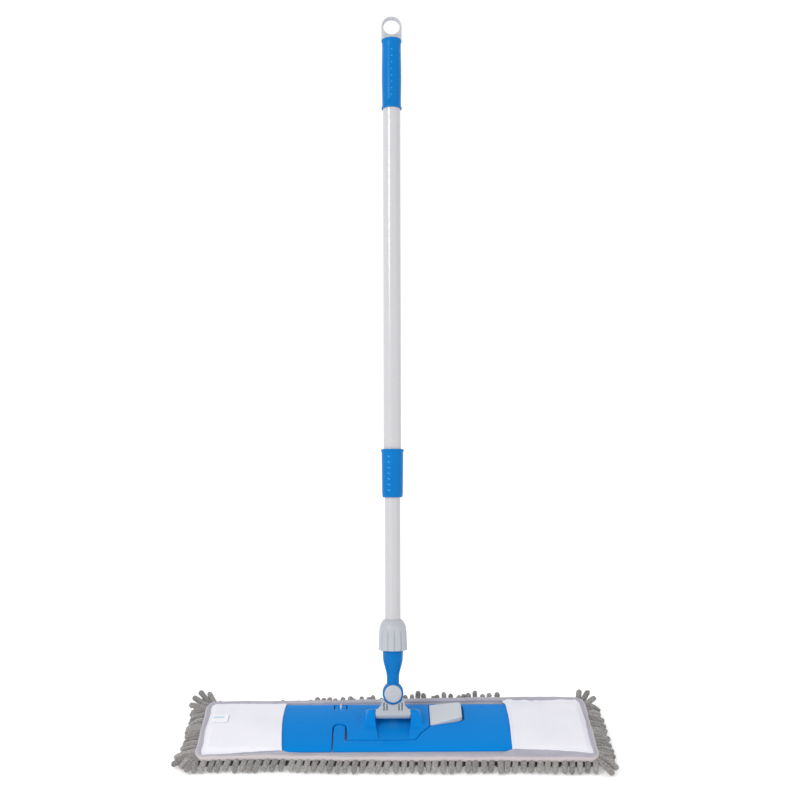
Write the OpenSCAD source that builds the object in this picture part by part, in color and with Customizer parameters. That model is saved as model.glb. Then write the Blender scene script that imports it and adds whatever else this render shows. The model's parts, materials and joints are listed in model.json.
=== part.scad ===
// Flat mop with a folding frame, a pocket pad and a telescopic handle.
// Millimetres. +Z is up. The origin is on the floor, right under the tilt axle.

/* [Handle] */
// Lean of the handle back from vertical, as it rests
lean = 23; // [10:1:35]
// Outside diameter of the upper tube
upper_d = 25; // [24.6:0.1:25.2]
// Outside diameter of the lower tube
lower_d = 22; // [21.6:0.1:22.2]
// Wall of both tubes
tube_wall = 0.8; // [0.7:0.1:0.9]
// Length of the grip
grip_len = 102; // [90:1:120]
// Length of the lock sleeve on the upper tube's lower end
sleeve_len = 67.6; // [60:0.2:75]
// Height of the collar nut
collar_len = 42; // [40:1:44]
// Flutes round the collar nut
flutes = 12; // [12:1:20]

/* [Head joint] */
// Height of the tilt axle above the floor
axle_z = 36.5; // [36:0.1:38]
// Distance of the swivel pin from the tilt axle
pin_s = 28.7; // [28:0.1:31]
// Outside diameter of the neck's eye
eye_d = 28.8; // [27:0.1:29.2]
// Length of the bracket's barrel
barrel_len = 48.4; // [44:0.2:48.4]
// Diameter of the tilt axle
axle_d = 5; // [4:0.5:6]
// Diameter of the swivel pin's shaft
pin_d = 10; // [8:0.5:11]

/* [Frame] */
// Depth of the plastic frame, front to back
frame_depth = 112; // [110:1:114]
// Top of the frame's crown above the pad
crown = 8; // [7.6:0.1:8.4]
// Crown of the right wing, a little lower so that the centre block stands proud
crown_right = 6.8; // [6.4:0.1:7.2]
// Height of the frame's long edges above the pad
frame_edge = 3.5; // [3:0.1:4]
// Place of the fold hinge along X
fold_x = -73.5; // [-75:0.5:-72]
// How far the frame folds with the pad on
fold_angle = 60; // [30:5:60]

/* [Pad] */
// Length of the pad over the binding
pad_len = 540; // [530:2:560]
// Depth of the pad over the binding
pad_depth = 138; // [136:1:142]
// Top of the backing above the floor
pad_top = 20; // [19.5:0.1:20.5]
// Width of the binding
binding_w = 8.5; // [7:0.5:10]
// How far the fringe stands out at the ends
fringe_end = 27; // [20:1:30]
// How far the fringe stands out at the front and back
fringe_side = 15; // [10:1:20]

/* [Hidden] */
$fn = 96;

// Colours
blue = [0.03, 0.45, 0.82];
grey = [0.76, 0.78, 0.80];
steel = [0.62, 0.63, 0.65];
tube_paint = [0.85, 0.85, 0.84];
white = [0.94, 0.94, 0.96];
trim = [0.70, 0.69, 0.72];
chenille = [0.60, 0.59, 0.58];

// Clearances: between bodies, and radially on a running shaft
gap = 0.6;
run = 0.05;

// Handle stations, measured along the handle from the tilt axle
waist_r = 8.5;
neck_r = 14.3;
waist_s = pin_s + 20.3;
shoulder_s = waist_s + 29;
collar_s = 87.5;
socket_floor = 74;
socket_top = 113;
thread_r = 15.2;
collar_r = 20.05;
sleeve_s = 298.4;
upper_s = sleeve_s + 4.6;
upper_top = 955;
grip_s = upper_top + 2.4 - grip_len;
ring_s = 977;
ring_r = 14.65;
ring_hole_r = 11.9;
ring_t = 9.5;
lower_top = 720;
upper_ir = upper_d / 2 - tube_wall;
lower_ir = lower_d / 2 - tube_wall;

// Frame places
frame_y0 = -65;
frame_y1 = frame_y0 + frame_depth;
frame_mid = (frame_y0 + frame_y1) / 2;
wing_x0 = -248;
wing_x1 = 258;
fold_z = pad_top + 3.8;
knuckle_r = 8;
slot_r = knuckle_r + 1.5;
block_x1 = 50;
block_front = -45;
skin = 2.6;
recess_w = barrel_len / 2 + 0.5;

// Pad places
pad_mid = [5, -10];
pad_x0 = pad_mid[0] - pad_len / 2;
pad_x1 = pad_mid[0] + pad_len / 2;
pad_y0 = pad_mid[1] - pad_depth / 2;
pad_y1 = pad_mid[1] + pad_depth / 2;
backing_t = 3;
mouth_left = -152;
mouth_right = 160;

// Pedal places
pedal_pivot = [66, 23.4];
recess_floor = pad_top + 1.2;
spring_at = [86, 16];
spring_h = 8;

// Puts children at station s of the handle, with their own Z along the handle
module on_pole(s) {
  translate([0, 0, axle_z]) rotate([-lean, 0, 0]) translate([0, 0, s]) children();
}

// Puts children on the swivel pin, with their own Z pointing forwards out of the pin's cap
module on_pin() {
  on_pole(pin_s) rotate([90, 0, 0]) children();
}

// Extrudes a YZ outline along X
module along_x(x0, x1) {
  translate([x0, 0, 0]) rotate([90, 0, 90]) linear_extrude(x1 - x0) children();
}

// Extrudes an XZ outline along Y
module along_y(y0, y1) {
  translate([0, y1, 0]) rotate([90, 0, 0]) linear_extrude(y1 - y0) children();
}

// A hollow cylinder along Z
module tube(outer, inner, h) {
  difference() {
    cylinder(r = outer, h = h);
    translate([0, 0, -1]) cylinder(r = inner, h = h + 2);
  }
}

// A rectangle in plan with round corners
module round_rect(x0, x1, y0, y1, r) {
  translate([x0 + r, y0]) square([x1 - x0 - 2 * r, y1 - y0]);
  translate([x0, y0 + r]) square([x1 - x0, y1 - y0 - 2 * r]);
  for (x = [x0 + r, x1 - r], y = [y0 + r, y1 - r]) translate([x, y]) circle(r);
}

// Crowned section in YZ: an arc from edge height to apex height, on a flat base
module crown_2d(y0, y1, base, edge, apex) {
  half = (y1 - y0) / 2;
  sag = apex - edge;
  r = (half * half + sag * sag) / (2 * sag);
  intersection() {
    translate([(y0 + y1) / 2, apex - r]) circle(r, $fn = 256);
    translate([y0, base]) square([y1 - y0, apex - base + 1]);
  }
}

// The frame's section, with its long edges chamfered
module frame_2d(apex) {
  difference() {
    crown_2d(frame_y0, frame_y1, pad_top, pad_top + frame_edge, pad_top + apex);
    for (side = [0, 1])
      translate([side * 2 * frame_mid, 0]) mirror([side, 0])
        polygon([
          [frame_y0 - 1, pad_top + 1.2], [frame_y0, pad_top + 1.2],
          [frame_y0 + 4.5, pad_top + frame_edge + 0.9], [frame_y0 - 1, pad_top + 10]
        ]);
  }
}

// Cells under a crowned plate, between ribs, up to the skin
module cells(x0, x1, y_cuts, count, apex) {
  pitch = (x1 - x0) / count;
  rib = 1.6;
  intersection() {
    along_x(x0, x1)
      crown_2d(frame_y0 + 4, frame_y1 - 4, pad_top - 1, pad_top + 0.9, pad_top + apex - skin);
    for (i = [0:count - 1], j = [0:len(y_cuts) - 2])
      translate([x0 + i * pitch, y_cuts[j], pad_top - 1])
        cube([pitch - rib, y_cuts[j + 1] - y_cuts[j] - rib, 12]);
  }
}

// Plan of the left wing and the centre block, with the notches for the hinge arms
module left_plan() {
  difference() {
    union() {
      round_rect(wing_x0, fold_x - slot_r, frame_y0, frame_y1, 9);
      translate([fold_x - slot_r - 12, frame_y0]) square([12, frame_depth]);
      translate([fold_x - slot_r - 1, -19]) square([2 * slot_r + 2, frame_y1 + 19]);
      polygon([
        [fold_x + slot_r, -12], [fold_x + slot_r + 2.4, block_front], [30, block_front], [38, -30],
        [block_x1, -16], [block_x1, frame_y1], [fold_x + slot_r, frame_y1]
      ]);
    }
    // Slot for the front arm's finger
    translate([fold_x - slot_r, frame_y0 - 1]) square([2 * slot_r, -9.5 - frame_y0 + 1 - slot_r / 2]);
    translate([fold_x, -9.5 - slot_r]) circle(slot_r);
    // Notch for the back knuckle
    translate([fold_x - slot_r, 27.9]) square([2 * slot_r, 12.2]);
  }
}

// Boss that holds one end of the tilt axle, on the right of the recess
module boss() {
  intersection() {
    along_x(recess_w, recess_w + 16.5) {
      translate([0, axle_z]) circle(7.4);
      polygon([[-19, pad_top + 5], [-6.2, axle_z + 4.1], [6.2, axle_z + 4.1], [21, pad_top + 5]]);
    }
    along_y(-30, 30) translate([recess_w - 2, pad_top + 6.5]) circle(18.4);
  }
}

// Recess that the bracket and the neck fold forward into
module recess() {
  recess_depth = 57.5;
  intersection() {
    along_x(-recess_w, recess_w)
      polygon([
        [block_front - 1, pad_top + 5.2], [-3, pad_top + 2.3], [9, pad_top + 2.3],
        [12.5, pad_top + 12], [12.5, axle_z + 20], [block_front - 1, axle_z + 20]
      ]);
    translate([0, 0, pad_top])
      linear_extrude(40)
        polygon([
          [-recess_w + 5.5, block_front - 1], [recess_w - 5.5, block_front - 1],
          [recess_w, -8], [recess_w, block_front + recess_depth],
          [-recess_w, block_front + recess_depth], [-recess_w, -8]
        ]);
  }
}

module frame_left() color(blue) {
  difference() {
    union() {
      intersection() {
        along_x(wing_x0, block_x1) frame_2d(crown);
        translate([0, 0, pad_top - 1]) linear_extrude(20) left_plan();
      }
      boss();
      mirror([1, 0, 0]) boss();
    }
    recess();
    cells(wing_x0 + 5, fold_x - slot_r - 3, [-61, -24, 10, 44.6], 4, crown);
    // The block stands clear of the pad's right half, which drops away when the frame folds
    translate([fold_x, frame_y0 - 1, pad_top - 1]) cube([block_x1 - fold_x + 1, frame_depth + 2, 1.4]);
    // Channel over the back arm
    translate([fold_x - slot_r, 29.3, pad_top - 1]) cube([block_x1 - fold_x + slot_r + 1, 11.2, 3.6]);
    // Blind bores for the tilt axle and the two hinge pins
    translate([-36, 0, axle_z]) rotate([0, 90, 0]) cylinder(d = axle_d, h = 72);
    translate([fold_x, 5, fold_z]) rotate([90, 0, 0]) cylinder(d = 3, h = 20);
    translate([fold_x, 45, fold_z]) rotate([90, 0, 0]) cylinder(d = 3, h = 27);
  }
}

// Section of a hinge arm round the fold axis: round below and on the left
module knuckle_2d() {
  intersection() {
    translate([fold_x - knuckle_r, pad_top]) square([2 * knuckle_r, 9]);
    union() {
      translate([fold_x, fold_z]) circle(knuckle_r);
      translate([fold_x, pad_top]) square([knuckle_r, 9]);
    }
  }
}

module frame_right() color(blue) {
  difference() {
    union() {
      intersection() {
        along_x(fold_x, wing_x1) frame_2d(crown_right);
        translate([0, 0, pad_top - 1]) linear_extrude(20) difference() {
          union() {
            round_rect(fold_x + 20, wing_x1, frame_y0, frame_y1, 9);
            translate([fold_x, frame_y0]) square([40, block_front - gap - frame_y0]);
          }
          polygon([
            [fold_x - 20, block_front - gap], [30.3, block_front - gap], [38.5, -30.4],
            [block_x1 + gap, -16.3], [block_x1 + gap, frame_y1 + 1], [fold_x - 20, frame_y1 + 1]
          ]);
        }
      }
      // Finger at the front of the hinge
      intersection() {
        along_x(fold_x - knuckle_r, fold_x + knuckle_r) frame_2d(crown_right);
        along_y(frame_y0, -10.6) knuckle_2d();
        translate([0, 0, pad_top - 1])
          linear_extrude(20) {
            translate([fold_x - knuckle_r, frame_y0])
              square([2 * knuckle_r, -10.6 - knuckle_r - frame_y0]);
            translate([fold_x, -10.6 - knuckle_r]) circle(knuckle_r);
          }
      }
      // Knuckle at the back of the hinge, and the low arm that carries it
      intersection() {
        along_x(fold_x - knuckle_r, fold_x + knuckle_r) frame_2d(crown_right);
        along_y(28.5, 39.5) knuckle_2d();
      }
      translate([fold_x, 30, pad_top]) cube([block_x1 + 6 - fold_x, 9.5, 2]);
    }
    // Well for the pedal
    translate([0, 0, recess_floor])
      linear_extrude(20)
        polygon([
          [block_x1 - 1, -14.4], [93.6, -3.4], [98.5, 0], [98.5, 35.8], [block_x1 - 1, 35.8]
        ]);
    cells(103, wing_x1 - 5, [-61, -24, 10, 44.6], 4, crown_right);
    translate([fold_x, -9, fold_z]) rotate([90, 0, 0]) cylinder(d = 3 + 2 * run, h = 16);
    translate([fold_x, 45, fold_z]) rotate([90, 0, 0]) cylinder(d = 3 + 2 * run, h = 27);
  }
  // Posts for the pedal's pin
  for (y = [-7, 27])
    difference() {
      translate([pedal_pivot[0] - 2.5, y, recess_floor - 0.2]) cube([5, 3, 4.2]);
      translate([pedal_pivot[0], y + 4, pedal_pivot[1]]) rotate([90, 0, 0]) cylinder(d = 2, h = 5);
    }
}

module tilt_axle() color(steel)
  translate([-35.5, 0, axle_z]) rotate([0, 90, 0]) cylinder(d = axle_d, h = 71);

module hinge_pin_front() color(steel)
  translate([fold_x, 4.5, fold_z]) rotate([90, 0, 0]) cylinder(d = 3, h = 28);

module hinge_pin_back() color(steel)
  translate([fold_x, 44.5, fold_z]) rotate([90, 0, 0]) cylinder(d = 3, h = 26);

// Side outline of the pedal in XZ, drawn in by t on the top and the ends
module pedal_2d(t) {
  polygon([
    [51 + t, 24.4 - t], [51 + t, 27 - t], [52 + t, 27.7 - t], [92 - t, 32.6 - t],
    [95 - t, 32 - t], [96 - t, 30.6 - t], [96 - t, 26.2 - t]
  ]);
}

// Plan outline of the pedal, drawn in by t
module pedal_plan(t) {
  polygon([
    [51 + t, -12.6 + t], [52.5 + t, -13 + t], [91.5 - t, -3 + t], [95 - t, -0.6 + t],
    [96 - t, 2 + t], [96 - t, 31.5 - t], [93 - t, 35 - t], [51 + t, 35 - t]
  ]);
}

module pedal() color(grey) {
  wall = 2;
  difference() {
    intersection() {
      along_y(-14, 36) pedal_2d(0);
      linear_extrude(40) pedal_plan(0);
    }
    intersection() {
      along_y(-14, 36) pedal_2d(wall);
      linear_extrude(40) pedal_plan(wall);
    }
    translate([94, 4, 26]) cube([4, 25, 4]);
    translate([spring_at[0], spring_at[1], recess_floor]) cylinder(r = 5, h = spring_h);
  }
  // Lugs on the pin, just inside the posts
  for (y = [-3.4, 23.4])
    difference() {
      translate([pedal_pivot[0] - 2, y, pedal_pivot[1] - 1.9]) cube([4, 3.2, 6.6]);
      translate([pedal_pivot[0], y + 4, pedal_pivot[1]])
        rotate([90, 0, 0]) cylinder(d = 2 + 2 * run, h = 5);
    }
}

module pedal_pin() color(steel)
  translate([pedal_pivot[0], 29.8, pedal_pivot[1]]) rotate([90, 0, 0]) cylinder(d = 2, h = 36.4);

// Round wire swept along a helix: sides points round the wire at each of the steps
module pedal_spring() color(steel) {
  turns = 4;
  steps = 48;
  sides = 8;
  wire = 0.5;
  coil_r = 3.5;
  rise = spring_h - 2 * wire;
  points = [
    for (i = [0:steps], j = [0:sides - 1])
      let (a = 360 * turns * i / steps, b = 360 * j / sides, r = coil_r + wire * cos(b))
        [r * cos(a), r * sin(a), wire + rise * i / steps + wire * sin(b)]
  ];
  walls = [
    for (i = [0:steps - 1], j = [0:sides - 1])
      let (k = (j + 1) % sides)
        [i * sides + j, (i + 1) * sides + j, (i + 1) * sides + k, i * sides + k]
  ];
  first = [for (j = [0:sides - 1]) j];
  last = [for (j = [sides - 1:-1:0]) steps * sides + j];
  translate([spring_at[0], spring_at[1], recess_floor])
    polyhedron(points, concat(walls, [first], [last]));
}

// Grey tilt bracket: a barrel on the axle, a ribbed cradle and the round tongue for the pin
module bracket() color(grey) {
  barrel_r = 6.5;
  cradle_t = 12;
  wide = barrel_len / 2 - 0.4;
  tongue_r = eye_d / 2 - 0.8;
  difference() {
    union() {
      translate([-barrel_len / 2, 0, axle_z]) rotate([0, 90, 0]) cylinder(r = barrel_r, h = barrel_len);
      difference() {
        on_pole(0) rotate([90, 0, 0]) translate([0, 0, -cradle_t / 2])
          linear_extrude(cradle_t)
            polygon([
              [-wide, -2], [-wide, 3.5], [-16, 11.5], [-16, 20],
              [16, 20], [16, 11.5], [wide, 3.5], [wide, -2]
            ]);
        on_pin() translate([0, 0, -10]) cylinder(r = eye_d / 2 + gap, h = 20);
      }
      on_pin() translate([0, 0, -4]) cylinder(r = tongue_r, h = 8);
      on_pole(pin_s / 2) cube([2 * tongue_r - 1.2, 8, pin_s], center = true);
    }
    translate([-30, 0, axle_z]) rotate([0, 90, 0]) cylinder(d = axle_d + 2 * run, h = 60);
    on_pin() translate([0, 0, -10]) cylinder(d = pin_d + 2 * run, h = 20);
    // Two slots on each side, between the moulded ribs
    for (side = [-1, 1], x = [8.3, 12.4])
      on_pole(10.5) translate([side * x, -5.4, 0]) cube([1.7, 4, 11], center = true);
  }
}

// Half width of the neck at t from 0 at the waist to 1 at the shoulder
function neck_flare(t) = waist_r + (neck_r - 0.4 - waist_r) * (1 - cos(180 * t)) / 2;

module neck() color(blue) {
  steps = 12;
  ear_t = 18.4;
  difference() {
    union() {
      on_pole(0) rotate_extrude()
        polygon(concat(
          [[0, pin_s + 6], [waist_r, pin_s + 6]],
          [for (i = [0:steps]) [neck_flare(i / steps), waist_s + (shoulder_s - waist_s) * i / steps]],
          [[neck_r, collar_s], [neck_r, collar_s + 2], [thread_r, collar_s + 3],
           [thread_r, socket_top - 1], [thread_r - 1, socket_top], [0, socket_top]]
        ));
      on_pin() translate([0, 0, -ear_t / 2]) cylinder(d = eye_d, h = ear_t);
    }
    on_pin() translate([0, 0, -4.2]) cylinder(r = eye_d / 2 + 0.2, h = 8.4);
    on_pole(pin_s - 10) cube([eye_d + 2, 8.4, 20], center = true);
    on_pin() translate([0, 0, -10]) cylinder(d = pin_d, h = 20);
    on_pole(socket_floor) cylinder(d = lower_d, h = 60);
    // Slits that let the socket close on the tube
    for (a = [0, 90]) on_pole(socket_top - 8) rotate([0, 0, a]) cube([40, 1.4, 22], center = true);
  }
}

module pivot_pin() color(grey)
  on_pin() {
    translate([0, 0, -12]) cylinder(d = pin_d, h = 22);
    translate([0, 0, 9.2]) rotate_extrude()
      polygon([[0, 0], [11.9, 0], [11.9, 1.2], [11.3, 1.9], [8, 2.5], [0, 2.8]]);
  }

module pivot_cap_rear() color(grey)
  on_pin() translate([0, 0, -12]) tube(9, pin_d / 2, 2.8);

module lower_tube() color(tube_paint)
  on_pole(socket_floor) tube(lower_d / 2, lower_ir, lower_top - socket_floor);

module lock_core() color(grey)
  on_pole(lower_top) {
    translate([0, 0, -30]) cylinder(r = lower_ir, h = 30);
    cylinder(r = lower_d / 2, h = 3);
    cylinder(r = 4, h = 33);
    translate([0, 0, 29.5]) cylinder(r = 8, h = 3.5);
  }

// Split ring that the collar nut's cone squeezes onto the lower tube
module clamp_ring() color(grey)
  on_pole(socket_top + 0.8) difference() {
    cylinder(r1 = 14.6, r2 = 12.6, h = 6.4);
    translate([0, 0, -1]) cylinder(r = lower_d / 2 + run, h = 9);
    translate([0, -0.8, -1]) cube([20, 1.6, 9]);
  }

module collar_nut() color(grey)
  on_pole(collar_s) difference() {
    rotate_extrude()
      polygon([
        [thread_r + run, 0], [collar_r, 0], [collar_r, 1.5], [19.2, 26], [18.4, 31],
        [16.6, 34.6], [14.2, 36.6], [13.6, 37.4], [13.6, collar_len - 0.5],
        [13.1, collar_len], [lower_d / 2 + 0.3, collar_len], [lower_d / 2 + 0.3, 33.6],
        [13.1, 32.9], [15.1, 26.4], [thread_r + run, 26]
      ]);
    for (i = [0:flutes - 1])
      rotate([0, 0, 360 * i / flutes]) translate([collar_r + 0.45, 0, -1]) cylinder(r = 1.7, h = 25);
  }

// Expander sleeve that turns on the lock core's stud and grips the upper tube
module lock_expander() color(grey)
  on_pole(lower_top + 4) difference() {
    cylinder(r = upper_ir - run, h = 24);
    translate([0, 0, -1]) cylinder(r = 4 + run, h = 26);
    translate([4, -1, 4]) cube([10, 2, 21]);
  }

module upper_tube() color(tube_paint)
  on_pole(upper_s) tube(upper_d / 2, upper_ir, upper_top - upper_s);

module grip() color(blue)
  on_pole(grip_s) {
    rotate_extrude()
      polygon([
        [upper_d / 2, 0], [14.3, 0], [14.6, 0.6], [14.5, 2.4], [13.6, 4], [13.5, 14],
        [14.05, grip_len / 2], [13.6, grip_len - 12], [13.65, grip_len - 5],
        [14.5, grip_len - 3], [14.65, grip_len - 1], [14.3, grip_len], [upper_d / 2, grip_len]
      ]);
    for (i = [0:7]) translate([0, -13.5, grip_len / 2 + 9.5 * (i - 3.5)]) sphere(r = 1.5, $fn = 24);
  }

// Plug, cap and hanging ring in one piece
module hang_cap() color(grey)
  difference() {
    union() {
      on_pole(upper_top - 26) tube(upper_ir, upper_ir - 2.2, 26.5);
      on_pole(upper_top) cylinder(r = upper_d / 2, h = 2.4);
      on_pole(upper_top + 2.4) cylinder(r1 = 14.2, r2 = 12.6, h = 5);
      on_pole(upper_top + 9) cube([17, ring_t, 9], center = true);
      on_pole(ring_s) rotate([90, 0, 0]) translate([0, 0, -ring_t / 2]) cylinder(r = ring_r, h = ring_t);
    }
    on_pole(ring_s) rotate([90, 0, 0]) translate([0, 0, -10]) cylinder(r = ring_hole_r, h = 20);
  }

// Blue sleeve over the upper tube's lower end, with a ribbed panel for the fingers
module lock_sleeve() color(blue)
  on_pole(sleeve_s) {
    rotate_extrude()
      polygon([
        [13.9, 0.6], [14.3, 0], [14.65, 1.2], [15.25, sleeve_len - 4.5], [16.1, sleeve_len - 3.8],
        [16.1, sleeve_len - 0.8], [15.4, sleeve_len], [upper_d / 2, sleeve_len],
        [upper_d / 2, 4.6], [13.9, 4.6]
      ]);
    for (i = [0:6])
      translate([-4.8, -14.6, 10 + 7.8 * i]) rotate([0, 25, 0]) cube([7, 2.2, 1.4], center = true);
  }

// Guide bush in the upper tube's lower end, running on the lower tube
module guide_bush() color(grey)
  on_pole(sleeve_s + 0.7) {
    difference() {
      union() {
        cylinder(r = 13.8, h = 3.8);
        cylinder(r = upper_ir, h = 30);
      }
      translate([0, 0, -1]) cylinder(r = lower_d / 2 + run, h = 33);
    }
  }

// Keeps the part of a pad piece on one side of the fold, cut back to a V so that it can close
module pad_half(side) {
  slope = tan(fold_angle / 2);
  reach = 400;
  intersection() {
    children();
    along_y(-200, 200)
      polygon([
        [fold_x + side * (fold_z * slope + gap), -1],
        [fold_x + side * ((fold_z - 40) * slope + gap), 40],
        [fold_x + side * reach, 40],
        [fold_x + side * reach, -1]
      ]);
  }
}

module backing() color(trim)
  translate([pad_x0 + binding_w, pad_y0 + binding_w, pad_top - backing_t])
    cube([pad_len - 2 * binding_w, pad_depth - 2 * binding_w, backing_t]);

module backing_left() pad_half(-1) backing();
module backing_right() pad_half(1) backing();

module binding() color(trim)
  translate([0, 0, pad_top - backing_t]) linear_extrude(backing_t + 1.5) difference() {
    round_rect(pad_x0, pad_x1, pad_y0, pad_y1, 6);
    translate([pad_x0 + binding_w, pad_y0 + binding_w])
      square([pad_len - 2 * binding_w, pad_depth - 2 * binding_w]);
  }

module binding_left() pad_half(-1) binding();
module binding_right() pad_half(1) binding();

module pile() color(chenille)
  linear_extrude(pad_top - backing_t) round_rect(pad_x0, pad_x1, pad_y0, pad_y1, 6);

module pile_left() pad_half(-1) pile();
module pile_right() pad_half(1) pile();

module fringe() color(chenille)
  linear_extrude(pad_top - backing_t) difference() {
    round_rect(pad_x0 - fringe_end, pad_x1 + fringe_end, pad_y0 - fringe_side, pad_y1 + fringe_side, 14);
    round_rect(pad_x0, pad_x1, pad_y0, pad_y1, 6);
  }

module fringe_left() pad_half(-1) fringe();
module fringe_right() pad_half(1) fringe();

// The frame's section grown by g, between y0 and y1, its slopes ending at height sill
module grown_2d(apex, g, y0, y1, base, sill) {
  half = frame_depth / 2;
  sag = apex - frame_edge;
  r = (half * half + sag * sag) / (2 * sag);
  slope = (frame_edge - 0.3) / 4.5;
  foot = frame_y0 - g * sqrt(1 + slope * slope) / slope + (sill - pad_top - 1.2) / slope;
  difference() {
    intersection() {
      translate([frame_mid, pad_top + apex - r]) circle(r + g, $fn = 256);
      translate([y0, base]) square([y1 - y0, 20]);
    }
    for (side = [0, 1])
      translate([side * 2 * frame_mid, 0]) mirror([side, 0])
        polygon([[y0 - 5, sill], [foot, sill], [foot + 10 / slope, sill + 10], [y0 - 5, sill + 10]]);
  }
}

// Cloth of a pocket of thickness t between two X places, g clear of a wing with that crown
module pocket(x0, x1, wall0, wall1, apex, g, t) {
  y0 = pad_y0 + binding_w;
  y1 = pad_y1 - binding_w;
  difference() {
    along_x(x0, x1) grown_2d(apex, g + t, y0, y1, pad_top, pad_top + 1.6);
    along_x(x0 + wall0, x1 + wall1)
      grown_2d(apex, g, y0 + 2.5, y1 - 2.5, pad_top - 1, pad_top - 1);
  }
}

module pocket_left() color(white)
  pocket(pad_x0 + binding_w, mouth_left, 2, 1, crown, 0.2, 1.2);

module pocket_right() color(white)
  pocket(mouth_right, pad_x1 - binding_w, -1, -2, crown_right, 0.2, 1.2);

module label_tag() color(white)
  intersection() {
    pocket(pad_x0 + binding_w, mouth_left, 2, 1, crown, 1.4, 0.6);
    translate([pad_x0 + binding_w + 7, -8, pad_top]) cube([22, 18, 20]);
  }

frame_left();
frame_right();
tilt_axle();
hinge_pin_front();
hinge_pin_back();
pedal();
pedal_pin();
pedal_spring();
bracket();
neck();
pivot_pin();
pivot_cap_rear();
lower_tube();
lock_core();
clamp_ring();
collar_nut();
lock_expander();
upper_tube();
grip();
hang_cap();
lock_sleeve();
guide_bush();
pocket_left();
pocket_right();
backing_left();
backing_right();
binding_left();
binding_right();
pile_left();
pile_right();
fringe_left();
fringe_right();
label_tag();
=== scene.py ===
"""Flat mop with a folding frame, a pocket pad and a telescopic handle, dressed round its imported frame."""

import json
import logging
import math
import random
from collections.abc import Callable, Sequence
from dataclasses import dataclass, field
from enum import Enum
from typing import Protocol

import bmesh
import bpy
import numpy as np
from mathutils import Matrix, Vector
from mathutils.geometry import delaunay_2d_cdt

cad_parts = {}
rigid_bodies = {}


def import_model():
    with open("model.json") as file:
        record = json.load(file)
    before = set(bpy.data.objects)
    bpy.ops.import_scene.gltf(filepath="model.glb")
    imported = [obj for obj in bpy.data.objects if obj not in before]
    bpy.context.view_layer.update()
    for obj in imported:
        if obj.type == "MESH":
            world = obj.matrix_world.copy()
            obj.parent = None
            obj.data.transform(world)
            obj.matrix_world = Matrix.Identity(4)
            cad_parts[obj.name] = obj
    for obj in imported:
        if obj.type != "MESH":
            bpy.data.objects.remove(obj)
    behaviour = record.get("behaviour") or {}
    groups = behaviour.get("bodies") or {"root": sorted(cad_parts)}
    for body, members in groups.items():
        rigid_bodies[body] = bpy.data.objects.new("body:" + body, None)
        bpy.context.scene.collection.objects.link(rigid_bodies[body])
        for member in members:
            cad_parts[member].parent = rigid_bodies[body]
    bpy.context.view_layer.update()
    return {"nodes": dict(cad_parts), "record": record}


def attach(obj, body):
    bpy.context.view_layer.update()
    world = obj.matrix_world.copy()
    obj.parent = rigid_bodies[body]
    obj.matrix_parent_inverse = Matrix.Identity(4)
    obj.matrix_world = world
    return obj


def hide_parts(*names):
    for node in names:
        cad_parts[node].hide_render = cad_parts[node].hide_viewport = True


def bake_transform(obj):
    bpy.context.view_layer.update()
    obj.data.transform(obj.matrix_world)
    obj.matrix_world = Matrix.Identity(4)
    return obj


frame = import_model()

log = logging.getLogger("flat_mop")

MM = 0.001
SEED = 17
FOLD_X = -73.5
PAD_TOP = 20.0
FRAME_MID = -9.0

Pair = tuple[float, float]
Triple = tuple[float, float, float]
Number = bpy.types.NodeSocket | float


class Body(Enum):
    """The bodies that pieces ride on."""

    FRAME = "frame"
    WING = "right_wing"
    PEDAL = "pedal"
    BRACKET = "bracket"
    LOWER = "lower_pole"
    COLLAR = "collar"
    UPPER = "upper_pole"


class Slot(Enum):
    """The record's material slots."""

    FRAME_BLUE = "frame_blue"
    GRIP_BLUE = "grip_blue"
    JOINT_GREY = "joint_grey"
    INNER = "inner_plastic"
    STEEL = "steel"
    TUBE = "tube"
    POCKET = "pocket_cloth"
    TRIM = "trim_cloth"
    CHENILLE = "chenille"
    TAG = "tag_cloth"


# ---------------------------------------------------------------- finishes


class Finish(Protocol):
    """Anything with a name that makes a material."""

    name: str

    def material(self) -> bpy.types.Material:
        """Builds the material."""


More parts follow.
